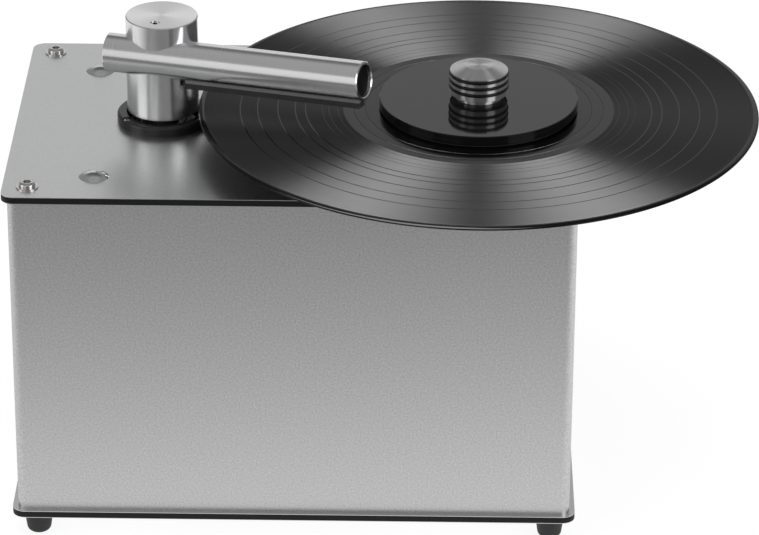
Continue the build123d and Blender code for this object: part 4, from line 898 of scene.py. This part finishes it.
# ------------------------------------------------------------------ record clamp
# A gloss black disc over a rubber seal, drawn down by a turned and polished aluminium knob
# that is gripped by three rubber O-rings.
gloss_black = surface(
    "gloss_black",
    grain,
    {"Color": grey(0.006), "Size": 0.003, "Contrast": 0.15, "Roughness": 0.07, "Spread": 0.02},
    relief=0.000002,
    shader={"Specular IOR Level": 0.3},
)
turned_knob = turned(
    "turned_knob",
    {"Color": (0.60, 0.60, 0.61, 1), "Pitch": 0.00025, "Contrast": 0.04, "Roughness": 0.34,
     "Spread": 0.04, "Centre": spindle_axis},
    relief=0.000002,
    shader={"Metallic": 1.0, "Anisotropic": 1.0},
)
soft_rubber = surface(
    "soft_rubber",
    grain,
    {"Color": grey(0.004), "Size": 0.0008, "Contrast": 0.2, "Roughness": 0.3, "Spread": 0.08},
    relief=0.00001,
    shader={"Specular IOR Level": 0.3},
)
dress(gloss_black, "clamp_disc")
dress(dull_rubber, "clamp_seal")
dress(turned_knob, "clamp_knob")
dress(soft_rubber, "knob_o_rings")

# ------------------------------------------------------------------ cabinet posts
# Drawn aluminium posts join the two panels in the corners. They are faced off at both ends
# and threaded for the screws above and the foot studs below.
drawn_bar = surface(
    "drawn_bar",
    grain,
    {"Color": (0.66, 0.66, 0.66, 1), "Size": 0.0005, "Contrast": 0.08, "Roughness": 0.3,
     "Spread": 0.06, "Stretch": (1.0, 1.0, 0.05)},
    relief=0.00001,
    shader={"Metallic": 1.0},
)
dress(drawn_bar, "corner_posts")

# ------------------------------------------------------------------ waste tank
# Blow-moulded natural polyethylene, milky and a little waxy, with a lid screwed down on
# rubber seals. A rubber cap closes the drain behind the cabinet.
milky_polyethylene = surface(
    "milky_polyethylene",
    grain,
    {"Color": (0.74, 0.74, 0.69, 1), "Size": 0.012, "Contrast": 0.05, "Roughness": 0.42, "Spread": 0.08},
    relief=0.0001,
    shader={"Subsurface Weight": 0.3, "Subsurface Scale": 0.004},
)
dress(milky_polyethylene, "waste_tank", "tank_lid")
dress(dull_rubber, "tank_seals", "drain_cap")
dress(bright_stainless, "lid_screws")

# ------------------------------------------------------------------ gearbox and spindle motor
# Acetal gears in a moulded black housing that is screwed up under the top panel, with an
# aluminium cover. A plated steel motor underneath drives them.
moulded_black = surface(
    "moulded_black",
    grain,
    {"Color": grey(0.022), "Size": 0.0007, "Contrast": 0.2, "Roughness": 0.48, "Spread": 0.08},
    relief=0.00005,
)
plated_can = surface(
    "plated_can",
    grain,
    {"Color": (0.58, 0.60, 0.61, 1), "Size": 0.003, "Contrast": 0.1, "Roughness": 0.25, "Spread": 0.07},
    relief=0.00001,
    shader={"Metallic": 1.0},
)
laminated_steel = surface(
    "laminated_steel",
    grain,
    {"Color": (0.34, 0.34, 0.35, 1), "Size": 0.0006, "Contrast": 0.3, "Roughness": 0.4,
     "Spread": 0.1, "Stretch": (0.02, 0.02, 1.0)},
    relief=0.00003,
    shader={"Metallic": 1.0},
)
dress(natural_acetal, "output_gear", "idler_gear")
dress(moulded_black, "gearbox_housing")
dress(drawn_bar, "gearbox_cover")
dress(bright_stainless, "gearbox_screws")
dress(plated_can, "spindle_motor_can")
dress(laminated_steel, "spindle_motor_rotor")

# ------------------------------------------------------------------ suction fan
# A moulded black scroll on three drawn posts with its motor below, blowing out at the back
# through a moulded grille.
dress(moulded_black, "fan_housing", "fan_impeller", "fan_cover", "exhaust_grille")
dress(drawn_bar, "fan_posts")
dress(plated_can, "fan_motor_can")
dress(laminated_steel, "fan_armature")

# ------------------------------------------------------------------ suction hose
# A ribbed grey rubber hose from the tank's lid over to the fan's eye. It has a plain cuff
# at each end, pushed on over a spigot.
ribbed_rubber = surface(
    "ribbed_rubber",
    grain,
    {"Color": (0.13, 0.13, 0.135, 1), "Size": 0.002, "Contrast": 0.15, "Roughness": 0.5, "Spread": 0.08},
    relief=0.00003,
)
hose_low, hose_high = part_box("suction_hose")
hose_r = 0.013
hose_bore_r = 0.0101
hose_bend_r = 0.030
rib_depth = 0.0014
rib_pitch = 0.0036
rib_sharpness = 1.5
cuff_length = 0.014
cuff_step = 0.0003
hose_sides = 48
hose_spacing = 0.0006
spigot_inset_x = 0.023
spigot_inset_y = 0.022
hose_foot = 0.130
lid_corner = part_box("tank_lid")[1]
hose_start = Vector((lid_corner.x - spigot_inset_x, lid_corner.y - spigot_inset_y, hose_foot))
fan_low, fan_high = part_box("fan_impeller")
fan_axis = (fan_low + fan_high) / 2
hose_top = hose_high.z - hose_r
across = Vector((fan_axis.x - hose_start.x, fan_axis.y - hose_start.y, 0))
level_run = across.length - 2 * hose_bend_r
across.normalize()
hose_side = Vector((0, 0, 1)).cross(across)
climb = hose_top - hose_bend_r - hose_start.z
drop = hose_top - hose_bend_r - hose_low.z
quarter = hose_bend_r * pi / 2
hose_length = climb + quarter + level_run + quarter + drop


def hose_point(s):
    """The hose's middle and direction at a distance s along it from the tank."""
    base = hose_start.copy()
    if s <= climb:
        return base + Vector((0, 0, s)), Vector((0, 0, 1))
    s -= climb
    base += Vector((0, 0, climb))
    if s <= quarter:
        turn = s / hose_bend_r
        bend = across * hose_bend_r * (1 - cos(turn)) + Vector((0, 0, hose_bend_r * sin(turn)))
        return base + bend, across * sin(turn) + Vector((0, 0, cos(turn)))
    s -= quarter
    base += across * hose_bend_r + Vector((0, 0, hose_bend_r))
    if s <= level_run:
        return base + across * s, across
    s -= level_run
    base += across * level_run
    if s <= quarter:
        turn = s / hose_bend_r
        bend = across * hose_bend_r * sin(turn) - Vector((0, 0, hose_bend_r * (1 - cos(turn))))
        return base + bend, across * cos(turn) - Vector((0, 0, sin(turn)))
    s -= quarter
    base += across * hose_bend_r - Vector((0, 0, hose_bend_r))
    return base - Vector((0, 0, s)), Vector((0, 0, -1))


def hose_mesh():
    """The ribbed hose with a plain cuff at each end and an open bore."""
    shape = bmesh.new()
    steps = round(hose_length / hose_spacing)
    outer = []
    inner = []
    for i in range(steps + 1):
        s = hose_length * i / steps
        middle, ahead_hose = hose_point(s)
        over = hose_side.cross(ahead_hose)
        ribbed = cuff_length < s < hose_length - cuff_length
        wave = (1 + cos(2 * pi * s / rib_pitch)) / 2
        r = hose_r - rib_depth + rib_depth * wave**rib_sharpness if ribbed else hose_r - cuff_step
        outer.append(round_section(shape, middle, hose_side, over, r, hose_sides))
        inner.append(round_section(shape, middle, hose_side, over, hose_bore_r, hose_sides))
    skins = list(zip(outer, outer[1:])) + list(zip(inner, inner[1:]))
    skins += [(outer[0], inner[0]), (outer[-1], inner[-1])]
    for low, high in skins:
        bridge(shape, low, high)
    return mesh_of("hose", shape)


hose = new_piece("ribbed_hose", hose_mesh(), ribbed_rubber, "root", sharp=radians(60))
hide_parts("suction_hose")

# ------------------------------------------------------------------ switches
# Two moulded rocker switches snap into the cabinet's left side: the black rockers have a
# finer, glossier skin than the housings.
glossy_moulding = surface(
    "glossy_moulding",
    grain,
    {"Color": grey(0.016), "Size": 0.0009, "Contrast": 0.15, "Roughness": 0.24, "Spread": 0.05},
    relief=0.00001,
)
dress(moulded_black, "switch_housings")
dress(glossy_moulding, "vacuum_rocker", "direction_rocker")

# ------------------------------------------------------------------ mains inlet
# A moulded black inlet snaps into the rear panel. It has three nickel-plated pins above a
# small fuse drawer that pulls out backwards.
nickel_pins = surface(
    "nickel_pins",
    grain,
    {"Color": (0.66, 0.62, 0.54, 1), "Size": 0.0015, "Contrast": 0.1, "Roughness": 0.2, "Spread": 0.06},
    relief=0.00001,
    shader={"Metallic": 1.0},
)
dress(moulded_black, "inlet_body")
dress(nickel_pins, "inlet_pins")
dress(glossy_moulding, "fuse_drawer")

# ------------------------------------------------------------------ wiring
# Three round black cables with a soft PVC sheath: from the inlet to the vacuum switch, from
# there to the fan, and from the direction switch to the platter's motor.
soft_sheath = surface(
    "soft_sheath",
    grain,
    {"Color": grey(0.020), "Size": 0.004, "Contrast": 0.2, "Roughness": 0.38, "Spread": 0.06},
    relief=0.00003,
)
dress(soft_sheath, "wiring")
